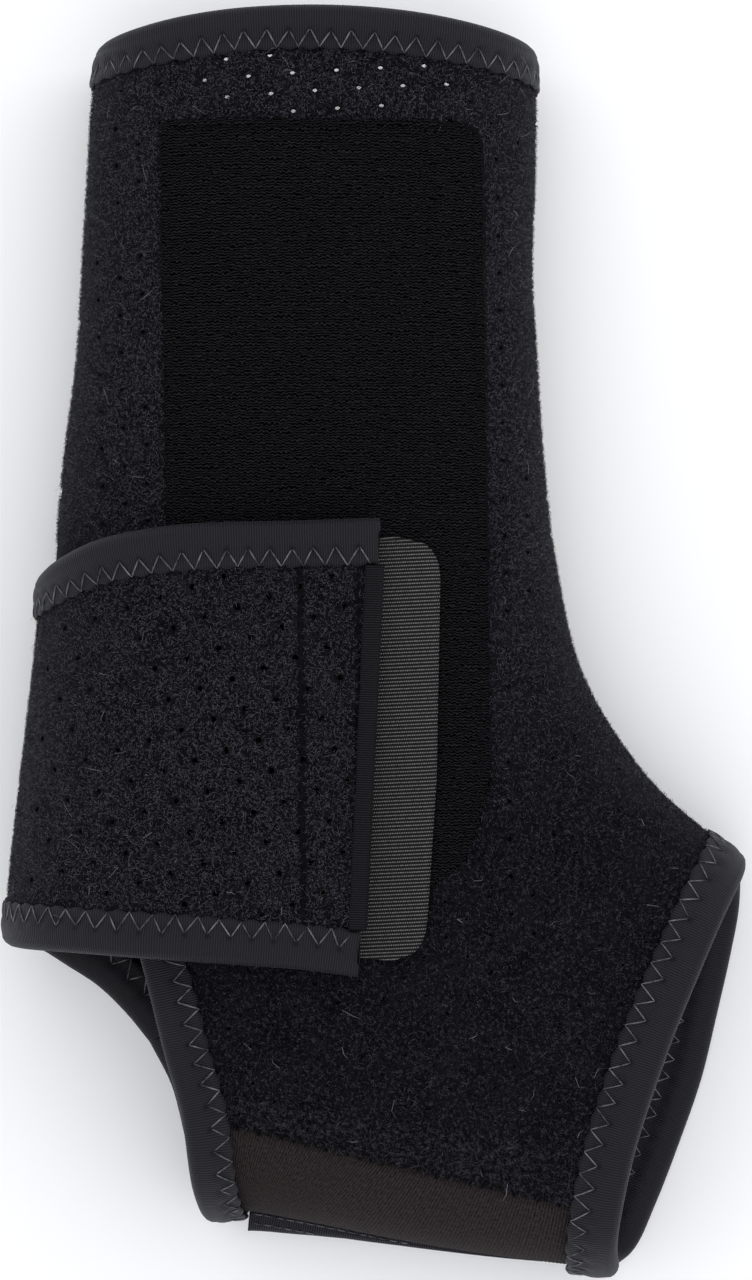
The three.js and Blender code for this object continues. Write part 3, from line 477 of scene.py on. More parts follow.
def end_caps(count, size):
    """Both ends of an open run of hoops, closed across the wall of a folded section."""
    k = np.arange(size // 2 - 1)
    cap = np.stack([k, k + 1, size - 2 - k, size - 1 - k], 1)
    return [cap, (cap + (count - 1) * size)[:, ::-1]]


# %% [markdown]
# ## Finishes
#
# The pieces are nearly black, so what tells them apart is how they scatter light. A small helper wires
# nodes: it makes a node, sets its values, and links what is handed to its sockets. Patterns read either
# the object's own coordinates, in metres, or the piece's map, in millimetres along and across the cloth.


# %% Wiring helpers
class Finish:
    def __init__(self, name, roughness, specular, sheen=0.0, sheen_roughness=0.5, tint=(1, 1, 1)):
        self.material = bpy.data.materials.new(name)
        self.material.use_nodes = True
        self.tree = self.material.node_tree
        self.shader = self.tree.nodes["Principled BSDF"]
        for socket, value in (("Roughness", roughness), ("Specular IOR Level", specular),
                              ("Sheen Weight", sheen), ("Sheen Roughness", sheen_roughness),
                              ("Sheen Tint", (*tint, 1))):
            self.shader.inputs[socket].default_value = value

    def node(self, kind, *feeds, **settings):
        made = self.tree.nodes.new(kind)
        for key, value in settings.items():
            if hasattr(made, key):
                setattr(made, key, value)
            else:
                made.inputs[key.replace("_", " ").title()].default_value = value
        for i, feed in enumerate(feeds):
            self.feed(made.inputs[i], feed)
        return made

    def feed(self, socket, value):
        if isinstance(value, bpy.types.NodeSocket):
            self.tree.links.new(value, socket)
        elif value is not None:
            socket.default_value = value

    def math(self, operation, a, b=None):
        return self.node("ShaderNodeMath", a, b, operation=operation).outputs[0]

    def times(self, a, b):
        return self.math("MULTIPLY", a, b)

    def plus(self, a, b):
        return self.math("ADD", a, b)

    def grain(self, scale, detail, rough, coords=None, stretch=None):
        """Noise of that many features a metre, or a unit of the map, from 0 to 1."""
        source = coords or self.node("ShaderNodeTexCoord").outputs["Object"]
        if stretch:
            source = self.node("ShaderNodeMapping", source, Scale=stretch).outputs[0]
        return self.node("ShaderNodeTexNoise", source, scale=scale, detail=detail, roughness=rough).outputs[0]

    def ramp(self, value, *stops):
        """Colour by value: each stop is a place and three numbers, straight between them."""
        ramp = self.node("ShaderNodeValToRGB", value)
        for i, (spot, colour) in enumerate(stops):
            element = ramp.color_ramp.elements[i] if i < 2 else ramp.color_ramp.elements.new(spot)
            element.position, element.color = spot, (*colour, 1)
        return ramp.outputs[0]

    def bump(self, height, distance, strength):
        made = self.node("ShaderNodeBump", Strength=strength, Distance=distance)
        self.feed(made.inputs["Height"], height)
        return made.outputs[0]

    def wear(self, colour, normal=None):
        self.feed(self.shader.inputs["Base Color"], colour)
        if normal is not None:
            self.feed(self.shader.inputs["Normal"], normal)
        return self.material

    def map_mm(self):
        """The map's two numbers: millimetres along the edge or rows, and millimetres across."""
        uv = self.node("ShaderNodeUVMap", uv_map="cloth_mm").outputs[0]
        split = self.node("ShaderNodeSeparateXYZ", uv).outputs
        return uv, split[0], split[1]

    def wave(self, value, pitch):
        """Waves from 0 to 1 with one crest every pitch: (1 + sin(2 pi value / pitch)) / 2."""
        sine = self.math("SINE", self.times(value, 2 * np.pi / pitch))
        return self.plus(self.times(sine, 0.5), 0.5)


# %% [markdown]
# The foam fabric is a foam core with a brushed pile. Between its fibres the ground is darker and lumpy, and
# at a grazing angle it catches light through a soft sheen. The fibres' paler shades are painted glints.

# %% Foam, fibres and lining
ground = Finish("brushed_foam_ground", 0.95, 0.03, sheen=0.06, sheen_roughness=0.45, tint=(0.8, 0.82, 0.95))
lumps = ground.grain(1500, 5, 0.7)
patches = ground.grain(140, 3, 0.5)
mottled = ground.plus(ground.times(lumps, 0.7), ground.times(patches, 0.3))
ground_colour = ground.ramp(mottled, (0.36, (0.0008, 0.0008, 0.0011)), (0.70, (0.010, 0.0096, 0.0125)))
foam_finish = ground.wear(ground_colour, ground.bump(ground.grain(2300, 4, 0.65), 0.0004, 0.9))

# Painted glints: the paler fibres of this colour ramp stand for light glinting on the near-black pile.
tuft = Finish("pile_fibre_painted_glints", 0.6, 0.08)
tuft_glint_colour = tuft.ramp(tuft.grain(1100, 3, 0.8), (0.42, (0.0010, 0.0009, 0.0014)),
                        (0.63, (0.047, 0.0445, 0.058)))
fibre_glint_finish = tuft.wear(tuft_glint_colour)
# A brighter copy of the fibre finish for the shaft, the strap and the sides; its paler fibres are painted
# glints.
brushed = Finish("brushed_fibre_painted_glints", 0.6, 0.1)
brushed_glint_colour = brushed.ramp(brushed.grain(2100, 3, 0.8), (0.39, (0.0016, 0.0015, 0.0023)),
                              (0.63, (0.083, 0.079, 0.100)))
brushed_glint_finish = brushed.wear(brushed_glint_colour)
print("finishes:", foam_finish.name, fibre_glint_finish.name)

# %% [markdown]
# The tape is a smooth stretch knit with fine ribs across its length. The thread is plain spun polyester.

# %% Tape and thread
def ribbed_tape(name, light):
    """Ribs of 0.5 mm across the tape, and a dark spot of painted shade at every outer needle hole."""
    made = Finish(name, 0.55, 0.16, sheen=0.04, sheen_roughness=0.4, tint=(0.8, 0.82, 0.95))
    tape_uv, along, inward = made.map_mm()
    uneven = made.times(made.grain(3.2, 3, 0.6, tape_uv), 0.6)
    rib_height = made.plus(made.times(made.wave(along, 0.5), 0.7), uneven)
    sideways = made.math("PINGPONG", along, PITCH / 2)
    inwards = made.math("SUBTRACT", inward, NEEDLE_INSET + NEEDLE_SWING)
    square = made.plus(made.times(sideways, sideways), made.times(inwards, inwards))
    # Painted shade: the colour darkens within about 0.8 mm of each outer needle hole.
    needle_hole_shade = made.math("MINIMUM", made.times(made.math("SQRT", square), 1.3), 1.0)
    tone = made.times(rib_height, needle_hole_shade)
    colour = made.ramp(tone, (0.24, (0.0008, 0.0008, 0.0013)), (1.0, light))
    return made.wear(colour, made.bump(rib_height, 0.00016, 1.0))


tape_finish = ribbed_tape("stretch_tape", (0.0145, 0.0136, 0.0190))
# The hem gets a lighter copy of the tape: painted light that makes up for the shade under the elastic's
# bulge.
hem_lightened_finish = ribbed_tape("hem_tape_painted_light", (0.036, 0.034, 0.045))

spun = Finish("sewing_thread", 0.5, 0.3)
thread_colour = spun.ramp(spun.grain(420, 3, 0.6), (0.35, (0.02, 0.02, 0.025)), (0.7, (0.17, 0.17, 0.185)))
thread_finish = spun.wear(thread_colour)

# %% [markdown]
# The loop patch is a dull knit whose rows run across the leg, each row a chain of shallow loops. The hook
# tab is a grey woven tape with raised cords, beaded where the weft passes over. The elastic is brown,
# with fine ribs down its height.

# %% Knit, hook tape and elastic
knit = Finish("loop_knit", 1.0, 0.01)
knit_uv, knit_along, knit_down = knit.map_mm()
sway = knit.times(knit.grain(0.5, 3, 0.6, knit_uv, (1, 1.4, 1)), 1.5)
loops_sway = knit.plus(sway, knit.times(knit.wave(knit_along, 1.1), 0.2))
row_waves = knit.wave(knit.plus(knit_down, loops_sway), KNIT_ROW / 2)
knit_rows = knit.times(row_waves, knit.grain(1.9, 3, 0.8, knit_uv))
knit_colour = knit.ramp(knit_rows, (0.14, (0.0004, 0.0004, 0.0005)), (0.50, (0.0135, 0.0130, 0.0146)))
knit_finish = knit.wear(knit_colour, knit.bump(knit_rows, 0.00022, 0.6))

hooks = Finish("hook_tape", 0.6, 0.15)
hook_uv, hook_along, hook_down = hooks.map_mm()
cord_place = hooks.math("SUBTRACT", hook_down, hooks.times(hook_along, -CORD_SLOPE))
cords = hooks.wave(cord_place, CORD)
odd = hooks.times(hooks.math("FLOOR", hooks.math("DIVIDE", cord_place, CORD)), BEAD / 2)
beads = hooks.wave(hooks.plus(hook_along, odd), BEAD)
beading = hooks.plus(hooks.times(beads, 0.45), hooks.times(hooks.grain(1.9, 3, 0.8, hook_uv), 0.95))
hook_height = hooks.times(hooks.times(cords, cords), beading)
hook_colour = hooks.ramp(hook_height, (0.06, (0.0012, 0.0012, 0.0012)), (0.36, (0.010, 0.0098, 0.0098)),
                         (0.8, (0.19, 0.187, 0.187)))
hook_finish = hooks.wear(hook_colour, hooks.bump(hook_height, 0.0002, 0.7))

brown = Finish("brown_elastic", 0.8, 0.08)
brown_uv, brown_along, _ = brown.map_mm()
flecks = brown.grain(1.9, 4, 0.95, brown_uv, (1, 0.6, 1))
speckle = brown.times(brown.math("SUBTRACT", flecks, 0.5), 3.6)
brown_mix = brown.plus(brown.times(brown.wave(brown_along, ELASTIC_RIB), 0.4), brown.plus(speckle, 0.35))
brown_colour = brown.ramp(brown_mix, (0.1, (0.0040, 0.0029, 0.0029)), (1.0, (0.037, 0.0295, 0.030)))
elastic_finish = brown.wear(brown_colour, brown.bump(brown_mix, 0.00012, 0.7))

dark = Finish("dark_ribbed_tape", 0.7, 0.08)
dark_uv, dark_along, _ = dark.map_mm()
dark_ribs = dark.times(dark.wave(dark_along, 0.55), dark.grain(2.2, 3, 0.8, dark_uv))
dark_colour = dark.ramp(dark_ribs, (0.1, (0.0012, 0.0012, 0.0016)), (0.6, (0.018, 0.017, 0.0215)))
dark_finish = dark.wear(dark_colour, dark.bump(dark_ribs, 0.0002, 0.8))
print("finishes ready:", len(bpy.data.materials))

# %% [markdown]
# ## Perforated panels
#
# The foam is pierced with small round holes in a slanted lattice, so that the skin can breathe. Panels
# start as closed shells. A second mesh of thin prisms, one for each hole, is cut out of the near panel
# and of the strap with a Boolean. The prisms of the band over the patch stand upright, so that the pale
# floor shows through them, as it does on the real brace.

# %% The lattice of holes
HOLE, BAND_FOOT, TAPE_CLEAR = 0.56, 107.0, 7.4
LATTICE = {"start": (-21.2, 119.5), "across": (5.7, -38.0), "down": (5.94, -136.4)}
STRAP_LATTICE = {"start": (-40.0, 5.0), "across": (6.6, 18.3), "down": (6.6, -66.7)}


def steps_of(lattice):
    """The lattice's two steps as the columns of a matrix: length times (cos, sin) of its angle."""
    return np.array([[size * np.cos(np.radians(angle)), size * np.sin(np.radians(angle))]
                     for size, angle in (lattice["across"], lattice["down"])]).T


def lattice_places(lattice, low, high):
    i, j = (k.ravel() for k in np.meshgrid(np.arange(-70, 71), np.arange(-70, 71)))
    spots = np.array(lattice["start"]) + (steps_of(lattice) @ np.stack([i, j])).T
    return spots[((spots > low) & (spots < high)).all(1)]


def from_hole(lattice, x, y):
    """Distance in the plan to the nearest place of the lattice."""
    grid = steps_of(lattice)
    spot = np.linalg.solve(grid, np.stack([np.ravel(x), np.ravel(y)]) - np.array(lattice["start"])[:, None])
    return np.hypot(*(grid @ (spot - np.round(spot)))).reshape(np.shape(x))


def slope_normal(x, y, side):
    """Outward normal of a height: (-dh/dx, -dh/dy, 1) by central differences, turned over under the part."""
    height, turn = side
    step = 0.05
    gx = (height(x + step, y) - height(x - step, y)) / (2 * step)
    gy = (height(x, y + step) - height(x, y - step)) / (2 * step)
    return unit(np.stack([-gx, -gy, np.ones_like(gx)], -1)) * turn


def prisms(centres, axes, radius, half, sides=8):
    """Closed prisms: centre + radius (cos a u + sin a v) -+ half * axis, with u and v square to the axis."""
    u = unit(np.cross(axes, np.array([0.31, 0.95, 0.05])))
    v = np.cross(axes, u)
    turn = np.linspace(0, 2 * np.pi, sides, endpoint=False) + 0.2
    turn, along = turn[None, :, None], axes[:, None] * half[:, None, None]
    ring = centres[:, None] + radius * (u[:, None] * np.cos(turn) + v[:, None] * np.sin(turn))
    ends = np.stack([ring - along, ring + along], 1)
    base = np.arange(len(centres))[:, None] * 2 * sides
    k = np.arange(sides)
    walls = np.stack([k, (k + 1) % sides, (k + 1) % sides + sides, k + sides], 1)
    walls = (base[:, None] + walls).reshape(-1, 4)
    return ends.reshape(-1, 3), [walls, base + k[::-1], base + sides + k]


def pierce(mesh, cutter_parts):
    """Cuts a mesh of prisms out of a shell and returns the result as a new mesh."""
    cutter = add_to_scene(bpy.data.objects.new("cutter", make_mesh("cutter", *cutter_parts)))
    body = add_to_scene(bpy.data.objects.new("pierced", mesh))
    cut = body.modifiers.new("holes", "BOOLEAN")
    cut.operation, cut.solver, cut.object = "DIFFERENCE", "MANIFOLD", cutter
    result = bpy.data.meshes.new_from_object(body.evaluated_get(bpy.context.evaluated_depsgraph_get()))
    name = mesh.name
    for item in (body, cutter):
        old = item.data
        bpy.data.objects.remove(item)
        bpy.data.meshes.remove(old)
    result.name = name
    result.set_sharp_from_angle(angle=0.8)
    return result


near_spots = lattice_places(LATTICE, (-70, -115), (70, 125))
x, y = near_spots.T
edge_room = np.minimum.reduce([apart(edge, x, y) for edge in (near_rim, heel_near, toe_near)])
on_near = np.minimum(apart(back_fold, x, y, 1), apart(front_fold, x, y, -1)) > 3.2
row_end = np.interp(x, near[-1, :, 0], near[-1, :, 1])
in_band = (y > BAND_FOOT) & (edge_room > TAPE_CLEAR) & (y < near_rim.at(0.5)[1] - 4)
heel_line, toe_line = heel_near.x_at(y), toe_near.x_at(y, left=50, right=90)
covered = (x > -43) & (x < 21) & (y < 106.0) & (y > -45)
covered |= (y < 19) & (y > -57) & (x < -2)
in_foot = (y < BAND_FOOT) & (x > heel_line + 8) & (x < toe_line - 9) & (y > row_end + 3)
chosen = on_near & (in_band | in_foot & ~covered)
x, y = x[chosen], y[chosen]
normal = slope_normal(x, y, NEAR)
upright = y > BAND_FOOT
axis = np.where(upright[:, None], np.array([0.0, 0.0, 1.0]), normal)
half = np.where(upright, 1.2 + HALF / np.maximum(normal[:, 2], 0.3) + 0.8, HALF + 1.0)
near_holes = prisms(np.stack([x, y, near_height(x, y)], 1), axis, HOLE, half)
print("holes in the near side:", len(x), "of which in the band over the patch:", int(upright.sum()))

# %% [markdown]
# The outer panel goes from the seam on the far side round the back of the leg and over the near side, in
# one piece. The inner panel is the far side. The strap is pierced too, where its holes show as dark dots.

# %% Panels and strap
outer_mesh = pierce(panel("outer_foam", "near", "wrap"), near_holes)
outer_foam = place(outer_mesh, foam_finish, "foam", ["outer_panel"])
inner_foam = place(panel("inner_foam", "far"), foam_finish, "foam", ["inner_panel"])

strap_spots = lattice_places(STRAP_LATTICE, (-80, -60), (0, 30))
x, y = strap_spots.T
edge_room = np.minimum.reduce([apart(edge, x, y) for edge in (upper_over, lower_over)])
inside = (apart(strap_fold, x, y, 1) > 3.5) & (apart(strap_end, x, y) > 4) & (x < upper_over.at(1.0)[0] - 3)
inside &= (edge_room > 7.8) & (y < upper_over.y_at(x)) & (y > lower_over.y_at(x))
x, y = x[inside], y[inside]
spots, half = np.stack([x, y, strap_over_height(x, y)], 1), np.full(len(x), HALF + 1.0)
strap_holes = prisms(spots, slope_normal(x, y, STRAP_OVER), HOLE + 0.06, half)
strap_mesh = pierce(panel("heel_strap", "strap_below", "strap_above"), strap_holes)
heel_strap = place(strap_mesh, foam_finish, "foam", ["wrap_strap"])
print("holes in the strap:", len(x))

# %% [markdown]
# ## Bound edges
#
# The tape is folded over the raw edge of the foam and caught by a zigzag stitch. To lay it, the edge is
# sampled at even steps, and from each place short steps are walked inwards over the cloth, each put back
# on the surface. That gives rows of places at known depths from the edge, on both faces of the cloth.


# %% Walk in from an edge
STATION, TANGENT_REACH, DEPTH_STEPS = 0.86, 1.2, 8


def edge_line(*stretches):
    """Places along an edge at the cloth's height, from stretches of outlines, with the side of each."""
    eased = crowded(160)
    parts = []
    for i, (curve, start, stop, side) in enumerate(stretches):
        plan = curve.at(start + (stop - start) * eased)[1 if i else 0:]
        parts.append((np.column_stack([plan, side[0](plan[:, 0], plan[:, 1])]), np.full(len(plan), i)))
    return np.vstack([p for p, _ in parts]), np.concatenate([k for _, k in parts]), [s[3] for s in stretches]


def settle(p, which, sides):
    """Normals and heights at the places, each from its own side's height."""
    n, z = np.empty_like(p), np.empty(len(p))
    for i, side in enumerate(sides):
        mine = which == i
        x, y = p[mine, 0], p[mine, 1]
        n[mine], z[mine] = slope_normal(x, y, side), side[0](x, y)
    return n, z


def smooth_along(values, closed, times):
    """Averages each row with its neighbours, a quarter each: (before + 2 here + after) / 4."""
    for _ in range(times):
        before, after = np.roll(values, 1, 0), np.roll(values, -1, 0)
        if not closed:
            before[0], after[-1] = values[0], values[-1]
        values = (before + 2 * values + after) / 4
    return values


def walk_in(line, depth, inward, closed):
    """Grid of places (station, depth step) and their normals, from the edge to the tape's depth."""
    path, which, sides = line
    run = run_of(path)
    trim = 0 if closed else GAP / 2
    at = np.linspace(trim, run[-1] - trim, int(run[-1] / STATION) + 1)[:-1 if closed else None]
    p = read(path, run, at)
    kind = which[np.clip(np.searchsorted(run, at), 0, len(which) - 1)]
    ahead, behind = (read(path, run, (at + d) % run[-1] if closed else np.clip(at + d, 0, run[-1]))
                     for d in (TANGENT_REACH, -TANGENT_REACH))
    tangent = unit(ahead - behind)
    n = unit(smooth_along(settle(p, kind, sides)[0], closed, 2))
    heading = unit(np.cross(n, tangent)) * inward
    places, normals, first_heading = [p], [n], heading
    for _ in range(DEPTH_STEPS):
        for _ in range(2):
            p = p + heading * depth / (2 * DEPTH_STEPS)
            for _ in range(2):
                n, z = settle(p, kind, sides)
                p = p - n * ((p[:, 2] - z) * n[:, 2])[:, None]
            heading = unit(heading - n * (heading * n).sum(1, keepdims=True))
        places.append(p)
        normals.append(n)
    places, normals = np.stack(places, 1), np.stack(normals, 1)
    places[:, 1:] = smooth_along(places[:, 1:], closed, 3)
    total = run[-1] if closed else at[-1] - at[0]
    return {"p": places, "n": unit(smooth_along(normals, closed, 3)), "at": at, "depth": depth,
            "pitch": total / round(total / PITCH), "total": total, "closed": closed, "inward": first_heading}


def on_tape(bed, along, depth, lift):
    """Places on a tape, straight between its stations and depth steps, lifted along the normal."""
    count, rings = bed["p"].shape[:2]
    step = bed["at"][1] - bed["at"][0]
    u = (along - bed["at"][0]) / step
    v = np.clip(depth / bed["depth"], 0, 1) * (rings - 1)
    i0, j0 = np.floor(u).astype(int), np.minimum(np.floor(v).astype(int), rings - 2)
    fu, fv = (u - i0)[:, None], (v - j0)[:, None]
    wrap_round = (lambda k: k % count) if bed["closed"] else (lambda k: np.clip(k, 0, count - 1))
    out = []
    for grid in (bed["p"], bed["n"]):
        a, b = (grid[i, j0] * (1 - fv) + grid[i, j0 + 1] * fv for i in (wrap_round(i0), wrap_round(i0 + 1)))
        out.append(a * (1 - fu) + b * fu)
    return out[0] + unit(out[1]) * lift, unit(out[1])


print(f"tapes are laid from stations {STATION} mm apart, in {DEPTH_STEPS} steps from the edge inwards")

# %% [markdown]
# A section through the tape is a long U: over the top face, round the edge, and back under. The cloth
# swells between the edge and the stitches and is pinched along them, and the raw edge is drawn into
# small waves by the zigzag. The section is carried along the edge, and closed by its inner face.


# %% Fold a tape over an edge
def folded_tape(name, bed, stands_for):
    """Outer face at half + gap + tape + swell from the cloth's middle, inner face a tape thinner."""
    count, rings = bed["p"].shape[:2]
    depth = np.linspace(0, 1, rings)
    phase = 2 * np.pi * (bed["at"] - bed["at"][0])[:, None] / bed["pitch"]
    scallop = 0.28 * np.cos(phase)
    pinch = np.exp(-((depth - 0.55) / 0.16) ** 2)[None] * (0.16 + 0.20 * np.cos(phase))
    swell = 0.34 * np.sin(np.pi * np.clip(depth / 0.62, 0, 1))[None] ** 1.2 - pinch
    swell[:, -1:] = -0.28
    outer_lift, inner_lift = (HALF + TAPE_REACH + swell)[..., None], HALF + GAP
    p, n = bed["p"].copy(), bed["n"]
    step_in = unit(p[:, -1] - p[:, -2])
    p[:, -1] += step_in * scallop
    away = -bed["inward"][:, None]
    turn = np.linspace(0, np.pi, 9)[1:-1][None, :, None]
    bend = n[:, :1] * np.cos(turn) + away * np.sin(turn) * 0.92
    outer = [(p + n * outer_lift)[:, ::-1], p[:, :1] + (HALF + TAPE_REACH) * bend, p - n * outer_lift]
    inner = [(p - n * inner_lift)[:, ::-1], (p[:, :1] + inner_lift * bend)[:, ::-1], p + n * inner_lift]
    ring = np.concatenate(outer + inner, 1)
    size, points = ring.shape[1], ring.reshape(-1, 3)
    own_mm = (bed["at"] - bed["at"][0]) * PITCH / bed["pitch"]
    uv = np.stack(np.meshgrid(own_mm, run_of(ring[count // 2]), indexing="ij"), -1).reshape(-1, 2)
    blocks = [facing_out(points, hoops(count, size, bed["closed"]))]
    if not bed["closed"]:
        blocks += end_caps(count, size)
    return place(make_mesh(name, points, blocks, uv), tape_finish, "tape", stands_for)


TAPES = {
    "rim_tape": (edge_line((near_rim, 0, 1, NEAR), (far_rim, 1, 0, FAR)), TAPE_WIDTH, -1, True,
                 "top_binding"),
    "toe_tape": (edge_line((toe_near, 0, 1, NEAR), (toe_far, 1, 0, FAR)), TOE_TAPE_WIDTH, -1, True,
                 "toe_binding"),
    "heel_tape": (edge_line((heel_near, 0.2, 1, NEAR), (heel_far, 1, 0, FAR)), TAPE_WIDTH, 1, False,
                  "heel_binding"),
    "strap_foot_tape": (edge_line((lower_under, 0, 1, STRAP_UNDER), (lower_over, 0, 1, STRAP_OVER)),
                        TAPE_WIDTH, 1, False, "strap_foot_binding"),
    "strap_top_tape": (edge_line((upper_under, 0, 1, STRAP_UNDER), (upper_over, 0, 1, STRAP_OVER)),
                       TAPE_WIDTH, -1, False, "strap_top_binding"),
}
beds, tape_pieces = {}, {}
for name, (line, depth, inward_way, closed, node_name) in TAPES.items():
    beds[name] = walk_in(line, depth, inward_way, closed)
    tape_pieces[name] = folded_tape(name, beds[name], [node_name])
print("tapes:", {name: f"{bed['at'][-1]:.0f} mm" for name, bed in beds.items()})

# %% [markdown]
# ## Stitches
#
# A stitch is a short piece of thread that leaves one needle hole, lies over the cloth and dives into the
# next. Each is a small tube along an arc, and all the stitches of a seam are worked out at once.


# %% Threads from hole to hole
THREAD_SIDES, THREAD_STEPS = 4, 6


def stitches(name, starts, stops, up, radius=0.16, rise=0.22, sink=0.12):
    """Tube along a + (b - a) t + up (rise (1 - (2t - 1)^4) - sink), with a round section that thins at
    both ends, for every pair of holes."""
    sides, samples = THREAD_SIDES, THREAD_STEPS
    t = np.linspace(0, 1, samples)[None, :, None]
    lift = rise * (1 - (2 * t - 1) ** 4) - np.reshape(sink, (-1, 1, 1))
    middle = starts[:, None] * (1 - t) + stops[:, None] * t + up[:, None] * lift
    run = unit(np.gradient(middle, axis=1))
    side = unit(np.cross(run, up[:, None]))
    top = np.cross(side, run)
    width = radius * (1 - 0.45 * np.abs(2 * t - 1) ** 3)[..., None]
    turn = np.linspace(0, 2 * np.pi, sides, endpoint=False)[None, None, :, None]
    ring = middle[:, :, None] + width * (side[:, :, None] * np.cos(turn) + top[:, :, None] * np.sin(turn))
    count = len(starts)
    base = np.arange(count)[:, None, None] * samples * sides
    s, k = np.arange(samples - 1)[None, :, None], np.arange(sides)[None, None, :]
    a, b = base + s * sides + k, base + s * sides + (k + 1) % sides
    tube = np.stack([a, a + sides, b + sides, b], -1).reshape(-1, 4)
    ends = np.arange(count)[:, None] * samples * sides + np.arange(sides)
    caps = [ends, (ends + (samples - 1) * sides)[:, ::-1]]
    return make_mesh(name, ring.reshape(-1, 3), [tube, *caps])


def along_line(path, spacing, length, closed=False):
    """Starts and stops of stitches of a length, one every spacing, along a path of places."""
    path = np.vstack([path, path[:1]]) if closed else path
    run = run_of(path)
    first = np.arange(0, run[-1] - length, spacing)
    first = first + chance.normal(0, 0.05, len(first))
    return read(path, run, first), read(path, run, first + length)


def zigzag(bed, lift):
    """Needle holes that jump between two depths at every half pitch, with a little of a hand's unevenness."""
    steps = round(bed["total"] / bed["pitch"]) * 2
    k = np.arange(0 if bed["closed"] else 1, steps + (1 if bed["closed"] else 0))
    depth = bed["depth"] - NEEDLE_INSET - np.where(k % 2, 0, NEEDLE_SWING) + chance.normal(0, 0.16, len(k))
    along = bed["at"][0] + k * bed["pitch"] / 2 + chance.normal(0, 0.14, len(k))
    p, n = on_tape(bed, along, depth, lift)
    slow = 0.5 + 0.5 * np.sin(k[1:] * 0.11 + 2 * np.sin(k[1:] * 0.037))
    sink = 0.05 + 0.30 * slow * chance.random(len(k) - 1)
    return p[:-1], p[1:], unit(n[:-1] + n[1:]), sink


for name, bed in beds.items():
    over = zigzag(bed, HALF + TAPE_REACH - 0.02)
    a, b, up, sink = zigzag(bed, -(HALF + TAPE_REACH - 0.02))
    a, b, up, sink = (np.concatenate(pair) for pair in zip(over, (a, b, -up, sink)))
    mesh = stitches(name.replace("tape", "zigzag"), a, b, up, sink=sink)
    place(mesh, thread_finish, "tape")

# %% [markdown]
# ## Pieces laid on the near side
#
# The loop patch and the hook tab follow the bulge under them at a set distance. A grid is drawn inside
# their rounded outline, and each place is lifted along the normal, after it has been moved back by the
# sideways part of that lift, so that the outline seen from above stays the cut one.


# %% Layers on the near side
def layer_points(x, y, lift, side=NEAR):
    """Place + normal * lift whose plan is (x, y): the plan is moved back by the normal's sideways part."""
    px, py = x.copy(), y.copy()
    for _ in range(3):
        n = slope_normal(px, py, side)
        px, py = x - n[..., 0] * lift, y - n[..., 1] * lift
    n = slope_normal(px, py, side)
    return np.stack([px, py, side[0](px, py)], -1) + n * lift, n


def rounded(table):
    """Outline with each corner replaced by a quadratic curve that starts and stops r / tan(a / 2) away."""
    spots, radii = np.array([row[:2] for row in table]) * (WIDTH, LENGTH), [row[2] for row in table]
    back, ahead = np.roll(spots, 1, 0) - spots, np.roll(spots, -1, 0) - spots
    room = 0.45 * np.minimum(np.linalg.norm(back, axis=1), np.linalg.norm(ahead, axis=1))
    back, ahead = unit(back), unit(ahead)
    half_turn = np.arccos(np.clip((back * ahead).sum(1), -1, 1)) / 2
    reach = np.minimum(np.array(radii) / np.tan(half_turn), room)[:, None]
    t = np.linspace(0, 1, 7)[None, :, None]
    a, b = (spots + back * reach)[:, None], (spots + ahead * reach)[:, None]
    return (a * (1 - t) ** 2 + spots[:, None] * 2 * t * (1 - t) + b * t ** 2).reshape(-1, 2)


def span(line, levels):
    """Least and greatest x of a closed outline at each level of y: crossings of its sides."""
    a, b = line, np.roll(line, -1, 0)
    t = (levels[:, None] - a[:, 1]) / np.where(np.abs(b[:, 1] - a[:, 1]) < 1e-9, 1e-9, b[:, 1] - a[:, 1])
    x = np.where((t >= 0) & (t <= 1), a[:, 0] + (b[:, 0] - a[:, 0]) * t, np.nan)
    return np.nanmin(x, 1), np.nanmax(x, 1)


PATCH_OUTLINE = [(-0.286, 0.410, 2), (0.140, 0.410, 6), (0.151, -0.094, 4), (0.120, -0.160, 9),
                 (0.071, -0.182, 4), (-0.268, -0.182, 2)]
TAB_OUTLINE = [(-0.104, 0.087, 1), (0.086, 0.090, 8.5), (0.080, -0.097, 40), (0.064, -0.240, 8.5),
               (-0.104, -0.229, 1)]


def finer(values, coarse, shape):
    """Values of a coarse grid at every row and column of the fine one, straight between neighbours."""
    row_at, column_at = coarse[0].ravel(), coarse[1].ravel()
    r, c = np.arange(shape[0]), np.arange(shape[1])
    i = np.clip(np.searchsorted(row_at, r, side="right") - 1, 0, len(row_at) - 2)
    j = np.clip(np.searchsorted(column_at, c, side="right") - 1, 0, len(column_at) - 2)
    u = ((r - row_at[i]) / (row_at[i + 1] - row_at[i]))[:, None, None]
    v = ((c - column_at[j]) / (column_at[j + 1] - column_at[j]))[None, :, None]
    first = values[i][:, j] * (1 - v) + values[i][:, j + 1] * v
    return first * (1 - u) + (values[i + 1][:, j] * (1 - v) + values[i + 1][:, j + 1] * v) * u


